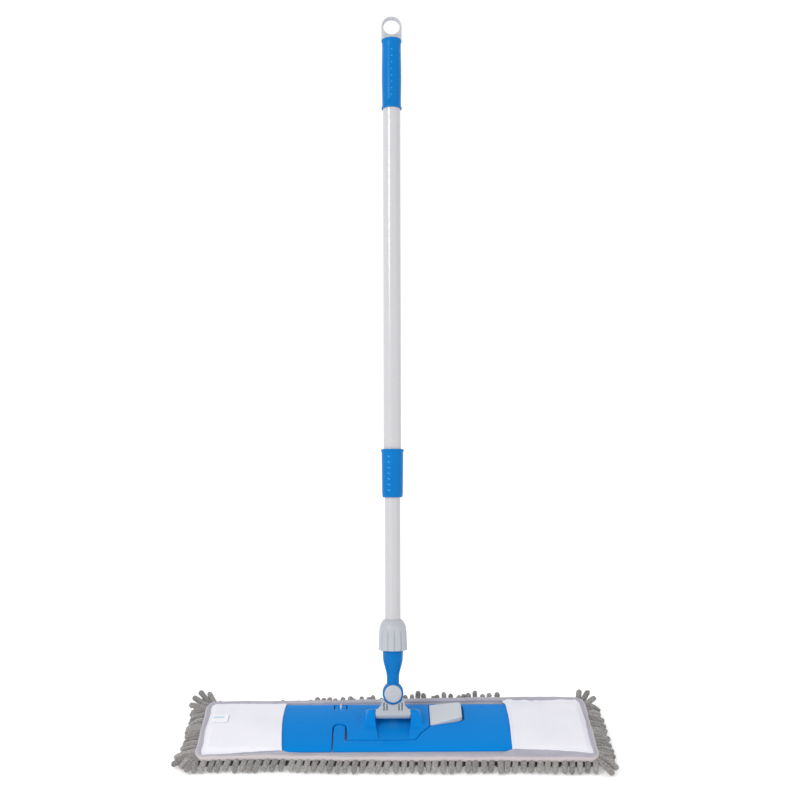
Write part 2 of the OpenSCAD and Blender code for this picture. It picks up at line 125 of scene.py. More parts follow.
class Recipe:
    """A material's node tree, built a node at a time."""

    def __init__(self, name: str) -> None:
        """Starts the material called name with a Principled shader.

        Args:
            name: the material's name.
        """
        self.material = bpy.data.materials.new(name)
        self.material.use_nodes = True
        self.tree = self.material.node_tree
        self.shader = self.tree.nodes["Principled BSDF"]

    def add(self, kind: str, inputs: dict | None = None, **settings: object) -> bpy.types.Node:
        """Adds a node.

        Args:
            kind: the node's type name.
            inputs: value or output socket for each input, by name or index.
            settings: the node's own properties.

        Returns:
            The new node.
        """
        node = self.tree.nodes.new(kind)
        for key, value in settings.items():
            setattr(node, key, value)
        for key, value in (inputs or {}).items():
            if isinstance(value, bpy.types.NodeSocket):
                self.tree.links.new(value, node.inputs[key])
            else:
                node.inputs[key].default_value = value
        return node

    def place(self) -> bpy.types.NodeSocket:
        """Object coordinates, in metres."""
        return self.add("ShaderNodeTexCoord").outputs["Object"]

    def cloth_place(self) -> bpy.types.NodeSocket:
        """The piece's own UV map, in metres along and across the cloth."""
        return self.add("ShaderNodeUVMap", uv_map="cloth").outputs["UV"]

    def noise(self, at: bpy.types.NodeSocket, scale: float, detail: float = 3.0) -> bpy.types.NodeSocket:
        """Noise from 0 to 1 at a scale in cycles a metre.

        Args:
            at: coordinates to read.
            scale: cycles a metre.
            detail: octaves of finer noise.

        Returns:
            The noise.
        """
        return self.add(
            "ShaderNodeTexNoise", {"Vector": at, "Scale": scale, "Detail": detail}
        ).outputs["Fac"]

    def remap(self, value: bpy.types.NodeSocket, low: Pair, high: Pair) -> bpy.types.NodeSocket:
        """Maps value from low[0]..high[0] onto low[1]..high[1].

        Args:
            value: number to map.
            low: first input and its output.
            high: last input and its output.

        Returns:
            The mapped number.
        """
        return self.add(
            "ShaderNodeMapRange",
            {"Value": value, 1: low[0], 2: high[0], 3: low[1], 4: high[1]},
        ).outputs[0]

    def tint(self, share: bpy.types.NodeSocket, first: Triple, second: Triple) -> bpy.types.NodeSocket:
        """Colour between first and second by share.

        Args:
            share: 0 for the first colour, 1 for the other.
            first: colour at 0.
            second: colour at 1.

        Returns:
            The colour.
        """
        mix = self.add("ShaderNodeMix", {0: share}, data_type="RGBA")
        for socket, colour in ((mix.inputs[6], first), (mix.inputs[7], second)):
            socket.default_value = (*colour, 1.0)
        return mix.outputs[2]

    def tint_over(
        self, share: bpy.types.NodeSocket, under: bpy.types.NodeSocket, over: Triple
    ) -> bpy.types.NodeSocket:
        """Lays the colour over on a coloured socket by share.

        Args:
            share: how much of it covers.
            under: colour below.
            over: colour laid on top.

        Returns:
            The colour.
        """
        mix = self.add("ShaderNodeMix", {0: share, 6: under}, data_type="RGBA")
        mix.inputs[7].default_value = (*over, 1.0)
        return mix.outputs[2]

    def bump(
        self,
        height: bpy.types.NodeSocket,
        strength: float,
        distance: float,
        over: bpy.types.NodeSocket | None = None,
    ) -> bpy.types.NodeSocket:
        """A bump of that distance in metres, over an earlier one.

        Args:
            height: height field.
            strength: share of the bump, 0 to 1.
            distance: depth in metres.
            over: earlier bump to add to.

        Returns:
            The bent normal.
        """
        node = self.add(
            "ShaderNodeBump", {"Height": height, "Strength": strength, "Distance": distance}
        )
        if over is not None:
            self.tree.links.new(over, node.inputs["Normal"])
        return node.outputs["Normal"]

    def compute(self, kind: str, first: Number, second: Number) -> bpy.types.NodeSocket:
        """One math step on two numbers or sockets."""
        return self.add("ShaderNodeMath", {0: first, 1: second}, operation=kind).outputs[0]

    def finish(self, links: dict, values: dict) -> bpy.types.Material:
        """Links sockets and sets constants on the shader.

        Args:
            links: output socket for each shader input.
            values: constant for each shader input.

        Returns:
            The finished material.
        """
        for key, socket in links.items():
            self.tree.links.new(socket, self.shader.inputs[key])
        for key, value in values.items():
            self.shader.inputs[key].default_value = value
        return self.material


@dataclass(frozen=True)
class MouldedPlastic:
    """Injection-moulded plastic with a fine spark-eroded grain and faint flow marks."""

    name: str
    colour: Triple
    shade: Triple
    roughness: float
    grain: float = 2600.0
    grain_depth: float = 0.00003
    specular: float = 0.45

    def material(self) -> bpy.types.Material:
        """Builds the material.

        Returns:
            The material.
        """
        r = Recipe(self.name)
        at = r.place()
        flow = r.noise(
            r.add("ShaderNodeMapping", {"Vector": at, "Scale": (6.0, 9.0, 9.0)}).outputs[0], 1.0, 2.0
        )
        tone = r.remap(flow, (0.35, 0.0), (0.68, 1.0))
        fine = r.noise(at, self.grain, 2.0)
        scuff = r.noise(
            r.add("ShaderNodeMapping", {"Vector": at, "Scale": (90.0, 160.0, 160.0)}).outputs[0], 1.0, 3.0
        )
        rough = r.compute(
            "ADD",
            r.remap(scuff, (0.3, self.roughness - 0.03), (0.75, self.roughness + 0.04)),
            r.remap(fine, (0.3, -0.02), (0.7, 0.02)),
        )
        normal = r.bump(r.noise(at, 42.0, 1.0), 0.15, 0.0001)
        normal = r.bump(fine, 0.55, self.grain_depth, normal)
        return r.finish(
            {"Base Color": r.tint(tone, self.shade, self.colour), "Roughness": rough, "Normal": normal},
            {"Specular IOR Level": self.specular},
        )


@dataclass(frozen=True)
class TubePaint:
    """Satin paint over an aluminium tube, with faint draw lines and orange peel."""

    name: str
    colour: Triple
    shade: Triple
    roughness: float = 0.2

    def material(self) -> bpy.types.Material:
        """Builds the material.

        Returns:
            The material.
        """
        r = Recipe(self.name)
        at = r.place()
        drawn = r.add(
            "ShaderNodeMapping",
            {"Vector": at, "Rotation": (math.radians(23), 0, 0), "Scale": (900.0, 900.0, 3.0)}
        )
        lines = r.noise(drawn.outputs[0], 1.0, 2.0)
        peel = r.noise(at, 850.0, 2.0)
        tone = r.noise(at, 9.0, 2.0)
        normal = r.bump(peel, 0.12, 0.00002)
        normal = r.bump(lines, 0.12, 0.00003, normal)
        return r.finish(
            {
                "Base Color": r.tint(tone, self.shade, self.colour),
                "Roughness": r.remap(lines, (0.3, self.roughness - 0.04), (0.7, self.roughness + 0.05)),
                "Normal": normal,
            },
            {"Coat Weight": 0.25, "Coat Roughness": 0.15, "Metallic": 0.0},
        )


@dataclass(frozen=True)
class TurnedSteel:
    """Plain turned steel with fine machining rings."""

    name: str = "turned_steel"

    def material(self) -> bpy.types.Material:
        """Builds the material.

        Returns:
            The material.
        """
        r = Recipe(self.name)
        at = r.place()
        rings = r.noise(
            r.add("ShaderNodeMapping", {"Vector": at, "Scale": (5200.0, 40.0, 40.0)}).outputs[0], 1.0, 2.0
        )
        tone = r.noise(at, 60.0, 3.0)
        return r.finish(
            {
                "Base Color": r.tint(tone, (0.46, 0.46, 0.48), (0.62, 0.62, 0.64)),
                "Roughness": r.remap(rings, (0.3, 0.24), (0.7, 0.4)),
                "Normal": r.bump(rings, 0.3, 0.00003),
            },
            {"Metallic": 1.0},
        )


@dataclass(frozen=True)
class WovenCloth:
    """Plain-woven cloth that follows the piece's own UV map, with painted shade between its threads."""

    name: str
    colour: Triple
    shade: Triple
    thread: float = 0.00052
    depth: float = 0.00012
    sheen: float = 0.25
    second: Triple | None = None
    stripe: Triple | None = None

    def material(self) -> bpy.types.Material:
        """Builds the material.

        Returns:
            The material.
        """
        r = Recipe(self.name)
        at = r.cloth_place()
        waves = []
        for direction in ("X", "Y"):
            waves.append(
                r.add(
                    "ShaderNodeTexWave",
                    {"Vector": at, "Scale": 1.0 / self.thread / 2.0 / math.pi * 2.0, "Distortion": 0.6,
                     "Detail": 1.0, "Detail Scale": 0.6},
                    wave_type="BANDS",
                    bands_direction=direction,
                ).outputs["Fac"]
            )
        weave = r.compute("MULTIPLY", waves[0], waves[1])
        cloud = r.noise(r.place(), 26.0, 4.0)
        slub = r.noise(r.place(), 1500.0, 2.0)
        base = r.tint(r.remap(cloud, (0.3, 0.0), (0.7, 1.0)), self.shade, self.colour)
        if self.second is not None:
            band = r.add("ShaderNodeAttribute", attribute_name="band").outputs["Fac"]
            base = r.tint_over(band, base, self.second)
        if self.stripe is not None:
            marked = r.add("ShaderNodeAttribute", attribute_name="stripe").outputs["Fac"]
            base = r.tint_over(marked, base, self.stripe)
        # Darker where the threads part: painted shade between the threads.
        dark = tuple(0.8 * c for c in self.shade)
        base = r.tint_over(r.remap(weave, (0.0, 0.28), (0.5, 0.0)), base, dark)
        normal = r.bump(weave, 0.5, self.depth)
        normal = r.bump(slub, 0.4, self.depth, normal)
        return r.finish(
            {"Base Color": base, "Roughness": r.remap(slub, (0.3, 0.78), (0.7, 0.95)), "Normal": normal},
            {"Sheen Weight": self.sheen, "Sheen Roughness": 0.45, "Specular IOR Level": 0.25},
        )


@dataclass(frozen=True)
class ChenilleYarn:
    """Tufted microfibre chenille: flecked greys, looped tufts with painted shade between them, a near-black
    painted-shade tone for hidden noodles, and a soft bloom.
    """

    name: str
    colour: Triple
    shade: Triple
    fleck: Triple

    def material(self) -> bpy.types.Material:
        """Builds the material.

        Returns:
            The material.
        """
        r = Recipe(self.name)
        at = r.place()
        tone = r.add("ShaderNodeAttribute", attribute_name="tone").outputs["Fac"]
        tufts = r.add(
            "ShaderNodeTexVoronoi", {"Vector": at, "Scale": 520.0, "Randomness": 0.9}, feature="F1"
        ).outputs["Distance"]
        fuzz = r.noise(at, 2400.0, 3.0)
        patch = r.noise(at, 210.0, 3.0)
        # Tone 0.08 on hidden noodles gives nearly the shade colour, a painted shade; other tones vary at random.
        base = r.tint(tone, self.shade, self.colour)
        base = r.tint_over(
            r.compute("MULTIPLY", tone, r.remap(patch, (0.5, 0.0), (0.75, 0.6))), base, self.fleck
        )
        # Darker towards the edges of each tuft cell: painted shade between the tufts.
        base = r.tint_over(
            r.remap(tufts, (0.35, 0.0), (0.8, 0.45)), base, tuple(0.45 * c for c in self.shade)
        )
        normal = r.bump(r.compute("SUBTRACT", 1.0, tufts), 0.7, 0.0007)
        normal = r.bump(fuzz, 0.5, 0.0002, normal)
        return r.finish(
            {"Base Color": base, "Normal": normal, "Roughness": r.remap(fuzz, (0.3, 0.85), (0.7, 1.0))},
            {"Sheen Weight": 0.35, "Sheen Roughness": 0.6, "Specular IOR Level": 0.15},
        )


FRAME_BLUE = MouldedPlastic(
    "frame_blue_gloss", (0.0005, 0.212, 0.630), (0.0005, 0.200, 0.600), 0.3, specular=0.06
)
# Lighter blue for the grip bumps and sleeve ribs: a painted highlight on the raised beads.
BUMP_BLUE_HIGHLIGHT = MouldedPlastic(
    "bump_blue_painted_highlight", (0.03, 0.34, 0.78), (0.02, 0.29, 0.70), 0.3, 3200.0, 0.00003, specular=0.3
)
# Near-black blue for a small bead on the grip: painted shadow inside the vent.
VENT_SHADOW_PAINT = MouldedPlastic("vent_shadow", (0.0, 0.05, 0.18), (0.0, 0.03, 0.12), 0.6, specular=0.1)
GRIP_BLUE = MouldedPlastic(
    "grip_blue_satin", (0.0005, 0.163, 0.485), (0.0005, 0.150, 0.445), 0.24, 3200.0, 0.00002, specular=0.1
)
JOINT_GREY = MouldedPlastic(
    "joint_grey_satin", (0.580, 0.612, 0.655), (0.53, 0.56, 0.60), 0.36, 2200.0, 0.00004, specular=0.3
)
COLLAR_GREY = MouldedPlastic(
    "collar_grey_satin", (0.475, 0.497, 0.530), (0.43, 0.45, 0.48), 0.33, 2200.0, 0.00003, specular=0.4
)
INNER_GREY = MouldedPlastic("inner_grey", (0.50, 0.51, 0.52), (0.42, 0.43, 0.44), 0.45, 1800.0, 0.00005)
STEEL = TurnedSteel()
TUBE_GREY = TubePaint("tube_light_grey", (0.520, 0.515, 0.535), (0.505, 0.50, 0.52))
POCKET_WHITE = WovenCloth("pocket_white", (0.845, 0.838, 0.895), (0.79, 0.785, 0.85), sheen=0.1)
TRIM_TAPE = WovenCloth(
    "trim_tape", (0.46, 0.45, 0.52), (0.38, 0.375, 0.44), 0.0008, 0.00018, second=(0.58, 0.525, 0.52)
)
BACKING_CLOTH = WovenCloth("backing_cloth", (0.42, 0.41, 0.45), (0.35, 0.34, 0.38), 0.0009)
# Near-black cloth for the backing's underside: painted shade under the pad, so the gaps between noodles read dark.
UNDERSIDE_SHADE_CLOTH = WovenCloth("underside_painted_shade", (0.05, 0.05, 0.052), (0.035, 0.035, 0.037), 0.001)
THREAD = WovenCloth("sewing_thread", (0.70, 0.68, 0.73), (0.6, 0.58, 0.63), 0.0004)
TAG_SATIN = WovenCloth(
    "tag_satin", (0.86, 0.87, 0.9), (0.82, 0.83, 0.87), 0.0003, 0.00005, stripe=(0.33, 0.55, 0.72)
)
# The second colour, near black, is what tone 0 gives: painted shade on the pile and the row behind the front fringe,
# and the dark end of each noodle's random tone.
CHENILLE = ChenilleYarn("chenille_grey", (0.345, 0.330, 0.320), (0.05, 0.048, 0.046), (0.47, 0.455, 0.44))


class Rack:
    """Makes each finish's material once and hands it out."""

    _made: dict[str, bpy.types.Material] = {}

    @classmethod
    def of(cls, finish: Finish) -> bpy.types.Material:
        """The material of a finish.

        Args:
            finish: finish of the surface.

        Returns:
            The material.
        """
        if finish.name not in cls._made:
            cls._made[finish.name] = finish.material()
        return cls._made[finish.name]


# ---------------------------------------------------------------- shaping tools


def piece(
    name: str, points: Sequence[Triple], faces: Sequence[Sequence[int]], finish: Finish,
    sharp: float = 38.0
) -> bpy.types.Object:
    """Makes a closed, smooth-shaded piece.

    Args:
        name: the piece's name.
        points: its points, in metres.
        faces: its faces, as point numbers.
        finish: what it is made of.
        sharp: edges sharper than this, in degrees, stay crisp.

    Returns:
        The piece's object, at the origin.
    """
    mesh = bpy.data.meshes.new(name)
    mesh.from_pydata([tuple(p) for p in points], [], [tuple(f) for f in faces])
    book = bmesh.new()
    book.from_mesh(mesh)
    bmesh.ops.remove_doubles(book, verts=book.verts, dist=1e-7)
    bmesh.ops.recalc_face_normals(book, faces=book.faces)
    book.to_mesh(mesh)
    book.free()
    return keep_mesh(name, mesh, finish, sharp)


def keep_mesh(name: str, mesh: bpy.types.Mesh, finish: Finish, sharp: float = 38.0) -> bpy.types.Object:
    """Gives a mesh its finish and shading, and an object of its own.

    Args:
        name: the piece's name.
        mesh: the finished mesh.
        finish: what it is made of, or None where the mesh has its materials.
        sharp: edges sharper than this, in degrees, stay crisp.

    Returns:
        The object, at the origin.
    """
    mesh.name = name
    if finish is not None:
        mesh.materials.clear()
        mesh.materials.append(Rack.of(finish))
    mesh.shade_smooth()
    mesh.set_sharp_from_angle(angle=math.radians(sharp))
    obj = bpy.data.objects.new(name, mesh)
    bpy.context.scene.collection.objects.link(obj)
    return obj


def settled(obj: bpy.types.Object) -> bpy.types.Object:
    """Applies an object's modifiers by taking its evaluated mesh.

    Args:
        obj: the piece.

    Returns:
        The same object, with a plain mesh.
    """
    depsgraph = bpy.context.evaluated_depsgraph_get()
    mesh = bpy.data.meshes.new_from_object(
        obj.evaluated_get(depsgraph), preserve_all_data_layers=True, depsgraph=depsgraph
    )
    old = obj.data
    obj.modifiers.clear()
    obj.data = mesh
    bpy.data.meshes.remove(old)
    mesh.name = obj.name
    return obj


def joined(name: str, parts: Sequence[bpy.types.Object]) -> bpy.types.Object:
    """Joins parts of one moulding into one piece called name.

    Args:
        name: the piece's name.
        parts: pieces to join.

    Returns:
        The joined piece.
    """
    book = bmesh.new()
    slots: list[bpy.types.Material] = []
    for part in parts:
        lead = {}
        for i, material in enumerate(part.data.materials):
            if material not in slots:
                slots.append(material)
            lead[i] = slots.index(material)
        start = len(book.faces)
        book.from_mesh(part.data)
        book.faces.ensure_lookup_table()
        for face in book.faces[start:]:
            face.material_index = lead.get(face.material_index, 0)
    mesh = bpy.data.meshes.new(name)
    book.to_mesh(mesh)
    book.free()
    for material in slots:
        mesh.materials.append(material)
    for part in parts:
        bpy.data.objects.remove(part)
    obj = bpy.data.objects.new(name, mesh)
    bpy.context.scene.collection.objects.link(obj)
    return obj


def carved(obj: bpy.types.Object, tool: bpy.types.Object, sharp: float = 38.0) -> bpy.types.Object:
    """Cuts a tool's shape out of an object and throws the tool away.

    Args:
        obj: the piece.
        tool: shape to cut away.
        sharp: angle in degrees past which an edge stays sharp.

    Returns:
        The cut piece.
    """
    cut = obj.modifiers.new("cut", "BOOLEAN")
    cut.operation = "DIFFERENCE"
    cut.solver = "EXACT"
    cut.object = tool
    settled(obj)
    bpy.data.objects.remove(tool)
    obj.data.shade_smooth()
    obj.data.set_sharp_from_angle(angle=math.radians(sharp))
    return obj


def dressed(obj: bpy.types.Object, body: Body, slot: Slot, *nodes: str) -> bpy.types.Object:
    """Lets a piece ride on a body and hides the CAD nodes it stands for.

    Args:
        obj: the piece.
        body: body it rides on.
        slot: not used.
        nodes: CAD nodes it stands for.

    Returns:
        The piece.
    """
    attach(obj, body.value)
    if nodes:
        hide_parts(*nodes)
    log.info("%s rides on %s, %d faces", obj.name, body.value, len(obj.data.polygons))
    return obj


def bent(obj: bpy.types.Object, slot: Slot, reach: float, *nodes: str) -> bpy.types.Object:
    """Bakes a cloth piece's placement into its mesh and hides the CAD nodes it stands for.

    Args:
        obj: the piece.
        slot: not used.
        reach: not used.
        nodes: CAD nodes it stands for.

    Returns:
        The piece.
    """
    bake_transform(obj)
    if nodes:
        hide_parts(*nodes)
    log.info("%s bends over the fold, %d faces", obj.name, len(obj.data.polygons))
    return obj


def soften(corners: Sequence[tuple[float, ...]], closed: bool = True, steps: int = 5) -> list[Pair]:
    """Rounds the corners of an outline.

    Args:
        corners: (x, y) or (x, y, cut), where cut is how far back the rounding starts.
        closed: whether the last corner joins the first.
        steps: how many short edges a corner gets.

    Returns:
        The outline's points.
    """
    out: list[Pair] = []
    count = len(corners)
    for i, corner in enumerate(corners):
        at = np.array(corner[:2], float)
        cut = corner[2] if len(corner) > 2 else 0.0
        if cut <= 0 or (not closed and i in (0, count - 1)):
            out.append((float(at[0]), float(at[1])))
            continue
        legs = [np.array(corners[i - 1][:2]) - at, np.array(corners[(i + 1) % count][:2]) - at]
        ends = [at + leg / np.linalg.norm(leg) * min(cut, 0.48 * np.linalg.norm(leg)) for leg in legs]
        for k in range(steps + 1):
            t = k / steps
            p = (1 - t) ** 2 * ends[0] + 2 * t * (1 - t) * at + t * t * ends[1]
            out.append((float(p[0]), float(p[1])))
    return out


def arc(centre: Pair, radius: float, first: float, last: float, steps: int) -> list[Pair]:
    """Points of an arc from the first angle to the last, in degrees.

    Args:
        centre: centre of the arc.
        radius: radius.
        first: first angle.
        last: last angle.
        steps: number of steps.

    Returns:
        The points.
    """
    return [
        (centre[0] + radius * math.cos(math.radians(a)), centre[1] + radius * math.sin(math.radians(a)))
        for a in np.linspace(first, last, steps + 1)
    ]


def smooth_min(a: np.ndarray, b: np.ndarray, blend: float) -> np.ndarray:
    """The lower of two heights, with their crossing rounded over blend."""
    h = np.clip(0.5 + 0.5 * (b - a) / blend, 0, 1)
    return b * (1 - h) + a * h - blend * h * (1 - h)


def smooth_max(a: np.ndarray, b: np.ndarray, blend: float) -> np.ndarray:
    """The higher of two heights, with their crossing rounded over blend."""
    return -smooth_min(-a, -b, blend)


def ease_in(t: np.ndarray | float) -> np.ndarray | float:
    """Smooth step from 0 to 1 over t from 0 to 1."""
    t = np.clip(t, 0, 1)
    return t * t * (3 - 2 * t)


@dataclass(frozen=True)
class Axis:
    """A line with two directions square to it, for turned parts; sizes are in mm."""

    origin: Triple
    along: Triple
    up: Triple
    side: Triple

    def at(self, radius: float, turn: float, station: float) -> Triple:
        """The point, in metres, at a radius and turn round a station."""
        return self.spot(radius * math.sin(turn), station, radius * math.cos(turn))

    def spot(self, side: float, along: float, up: float) -> Triple:
        """The point, in metres, at three distances from the origin.

        Args:
            side: distance to the side.
            along: distance along.
            up: distance up.

        Returns:
            The point.
        """
        return tuple(
            MM * (self.origin[i] + self.side[i] * side + self.along[i] * along + self.up[i] * up)
            for i in range(3)
        )


LEAN = math.radians(23)
AXLE_Z = 36.5
PIN_S = 28.7
UP_POLE = (0.0, math.sin(LEAN), math.cos(LEAN))
FORWARD = (0.0, -math.cos(LEAN), math.sin(LEAN))
POLE = Axis((0, 0, AXLE_Z), UP_POLE, FORWARD, (1, 0, 0))
PIN = Axis((0, PIN_S * UP_POLE[1], AXLE_Z + PIN_S * UP_POLE[2]), FORWARD, UP_POLE, (1, 0, 0))
AXLE = Axis((0, 0, AXLE_Z), (1, 0, 0), (0, 0, 1), (0, 1, 0))


def turned(
    name: str,
    axis: Axis,
    profile: Sequence[Pair],
    finish: Finish,
    segments: int = 96,
    swell: Callable[[float, float, float], float] | None = None,
) -> bpy.types.Object:
    """Turns a profile round an axis.

    Args:
        name: the piece's name.
        axis: the axis to turn about.
        profile: (radius, station) points; a radius of 0 closes the shape on the axis.
        finish: what it is made of.
        segments: steps round the axis.
        swell: gives the radius from (radius, station, turn), for flutes and panels.

    Returns:
        The turned piece.
    """
    points: list[Triple] = []
    rings: list[list[int]] = []
    for radius, station in profile:
        if radius < 1e-6:
            rings.append([len(points)])
            points.append(axis.at(0, 0, station))
            continue
        start = len(points)
        for k in range(segments):
            turn = 2 * math.pi * k / segments
            wide = radius if swell is None else swell(radius, station, turn)
            points.append(axis.at(wide, turn, station))
        rings.append(list(range(start, start + segments)))
    pairs = list(zip(rings, rings[1:], strict=False))
    if len(rings[0]) > 1 and len(rings[-1]) > 1:
        pairs.append((rings[-1], rings[0]))
    faces: list[tuple[int, ...]] = []
    for a, b in pairs:
        for k in range(segments):
            n = (k + 1) % segments
            if len(a) == 1:
                faces.append((a[0], b[k], b[n]))
            elif len(b) == 1:
                faces.append((a[k], a[n], b[0]))
            else:
                faces.append((a[k], a[n], b[n], b[k]))
    return piece(name, points, faces, finish)


def within(points: np.ndarray, loops: Sequence[np.ndarray]) -> np.ndarray:
    """Whether each plan point is inside the loops, counted even-odd.

    Args:
        points: points in plan.
        loops: closed outlines.

    Returns:
        True for each point inside.
    """
    hit = np.zeros(len(points), bool)
    x, y = points[:, 0], points[:, 1]
    for loop in loops:
        a, b = loop, np.roll(loop, -1, axis=0)
        for (ax, ay), (bx, by) in zip(a, b, strict=True):
            if ay == by:
                continue
            crosses = ((ay > y) != (by > y)) & (x < (bx - ax) * (y - ay) / (by - ay) + ax)
            hit ^= crosses
    return hit


def clearance(points: np.ndarray, loops: Sequence[np.ndarray]) -> np.ndarray:
    """Each plan point's distance to the nearest loop.

    Args:
        points: points in plan.
        loops: closed outlines.

    Returns:
        The distances.
    """
    best = np.full(len(points), 1e9)
    for loop in loops:
        for a, b in zip(loop, np.roll(loop, -1, axis=0), strict=True):
            d = b - a
            t = np.clip(((points - a) @ d) / max(float(d @ d), 1e-12), 0, 1)
            best = np.minimum(best, np.linalg.norm(points - (a + t[:, None] * d), axis=1))
    return best


def inset(loop: np.ndarray, by: float) -> np.ndarray:
    """A loop drawn in by a distance, towards its left.

    Args:
        loop: closed outline.
        by: distance.

    Returns:
        The inner loop.
    """
    ahead = np.roll(loop, -1, axis=0) - loop
    ahead /= np.maximum(np.linalg.norm(ahead, axis=1), 1e-9)[:, None]
    normal = np.stack([-ahead[:, 1], ahead[:, 0]], axis=1)
    before = np.roll(normal, 1, axis=0)
    meet = np.maximum(1 + (normal * before).sum(1), 0.5)
    return loop + by * (normal + before) / meet[:, None]


def parted(loop: Sequence[Pair], step: float) -> np.ndarray:
    """A loop with its long edges split into steps.

    Args:
        loop: closed outline.
        step: longest edge.

    Returns:
        The denser loop.
    """
    out = []
    for i, a in enumerate(loop):
        b = loop[(i + 1) % len(loop)]
        count = max(1, math.ceil(math.dist(a, b) / step))
        out += [
            (a[0] + (b[0] - a[0]) * k / count, a[1] + (b[1] - a[1]) * k / count) for k in range(count)
        ]
    return np.array(out, float)


Height = Callable[[np.ndarray, np.ndarray], np.ndarray]


@dataclass
class Plate:
    """A moulded plate: outlines in plan, a shaped top and base, and eased edges.

    Loops keep the solid on their left: the outline runs anticlockwise and holes clockwise.
    """

    loops: Sequence[Sequence[Pair]]
    top: Height
    base: Height
    ease: float = 0.8
    ease_base: float = 0.0
    step: float = 4.0
    fine: Sequence[tuple[float, float, float, float, float]] = ()
    place: Callable[[float, float, float], Triple] = field(
        default=lambda x, y, z: (x * MM, y * MM, z * MM)
    )

    def build(self, name: str, finish: Finish, sharp: float = 40.0) -> bpy.types.Object:
        """Builds the plate as one closed piece.

        Args:
            name: the piece's name.
            finish: finish of the surface.
            sharp: angle in degrees past which an edge stays sharp.

        Returns:
            The piece.
        """
        outer = [parted(loop, self.step) for loop in self.loops]
        points: list[Triple] = []
        faces: list[tuple[int, ...]] = []
        rims = [
            self._face(outer, self.top, self.base, self.ease, 1, points, faces),
            self._face(outer, self.base, self.top, self.ease_base, -1, points, faces),
        ]
        for upper, lower in zip(*rims, strict=True):
            for k in range(len(upper)):
                n = (k + 1) % len(upper)
                faces.append((upper[k], lower[k], lower[n], upper[n]))
        return piece(name, points, faces, finish, sharp)

    def _face(
        self, outer: np.ndarray, height: Height, other: Height, ease: float, sign: int, points: list,
        faces: list
    ) -> list[list[int]]:
        """Adds the top (sign 1) or base (sign -1) and returns its rim's point numbers.

        Args:
            outer: outline.
            height: height of this side.
            other: height of the far side.
            ease: radius of the rounded edge.
            sign: 1 for the top, -1 for the base.
            points: point list to add to.
            faces: face list to add to.

        Returns:
            The rim's point numbers.
        """
        turns = [0.0] if ease <= 0 else [math.radians(a) for a in (0, 22.5, 45, 67.5, 90)]
        rings: list[list[list[int]]] = []
        last = outer
        for turn in turns:
            last = [inset(loop, ease * (1 - math.cos(turn))) for loop in outer] if ease > 0 else outer
            numbers = []
            for loop in last:
                x, y = loop[:, 0], loop[:, 1]
                z, far = height(x, y), other(x, y)
                drop = ease * (1 - math.sin(turn)) * np.minimum(
                    1, np.abs(z - far) / max(2 * ease, 1e-6)
                ) if ease > 0 else 0
                z = z - sign * drop
                numbers.append(list(range(len(points), len(points) + len(loop))))
                points += [self.place(*p) for p in zip(x, y, z, strict=True)]
            rings.append(numbers)
        for a, b in zip(rings, rings[1:], strict=False):
            for la, lb in zip(a, b, strict=True):
                for k in range(len(la)):
                    n = (k + 1) % len(la)
                    faces.append((la[k], la[n], lb[n], lb[k]))
        inner = self._grid(last) if ease > 0 else np.zeros((0, 2))
        flat = np.concatenate([*last, inner]) if len(inner) else np.concatenate(last)
        edges, start = [], 0
        for loop in last:
            edges += [(start + k, start + (k + 1) % len(loop)) for k in range(len(loop))]
            start += len(loop)
        made, _, triangles, source, _, _ = delaunay_2d_cdt([Vector(p) for p in flat], edges, [], 0, 1e-5)
        rim_numbers = [n for ring in rings[-1] for n in ring]
        numbers = []
        for i, origin in enumerate(source):
            if origin and origin[0] < start:
                numbers.append(rim_numbers[origin[0]])
            else:
                x, y = np.array([made[i][0]]), np.array([made[i][1]])
                numbers.append(len(points))
                points.append(self.place(float(x[0]), float(y[0]), float(height(x, y)[0])))
        middles = np.array([np.mean([made[i][:] for i in t], axis=0) for t in triangles])
        keep = within(middles, last)
        faces += [tuple(numbers[i] for i in t) for t, good in zip(triangles, keep, strict=True) if good]
        return rings[0]

    def _grid(self, loops: Sequence[np.ndarray]) -> np.ndarray:
        """Points inside the plate: a coarse grid, and finer ones where the top is shaped.

        Args:
            loops: closed outlines.

        Returns:
            The points.
        """
        whole = np.concatenate(loops)
        low, high = whole.min(0), whole.max(0)
        found: list[np.ndarray] = []
        for x0, x1, y0, y1, step in [(low[0], high[0], low[1], high[1], self.step), *self.fine]:
            xs, ys = np.arange(x0 + step / 2, x1, step), np.arange(y0 + step / 2, y1, step)
            grid = np.stack(np.meshgrid(xs, ys), axis=-1).reshape(-1, 2)
            for fx0, fx1, fy0, fy1, fine in self.fine:
                if fine < step:
                    grid = grid[
                        ~(
                            (
                                grid[:, 0] > fx0
                            ) & (grid[:, 0] < fx1) & (grid[:, 1] > fy0) & (grid[:, 1] < fy1)
                        )
                    ]
            grid = grid[within(grid, loops)]
            found.append(grid[clearance(grid, loops) > 0.45 * step])
        return np.concatenate(found)


def flat_at(z: float) -> Height:
    """A level surface at height z."""
    return lambda x, y: np.full_like(np.asarray(x, float), z)


# ---------------------------------------------------------------- Geometry Nodes


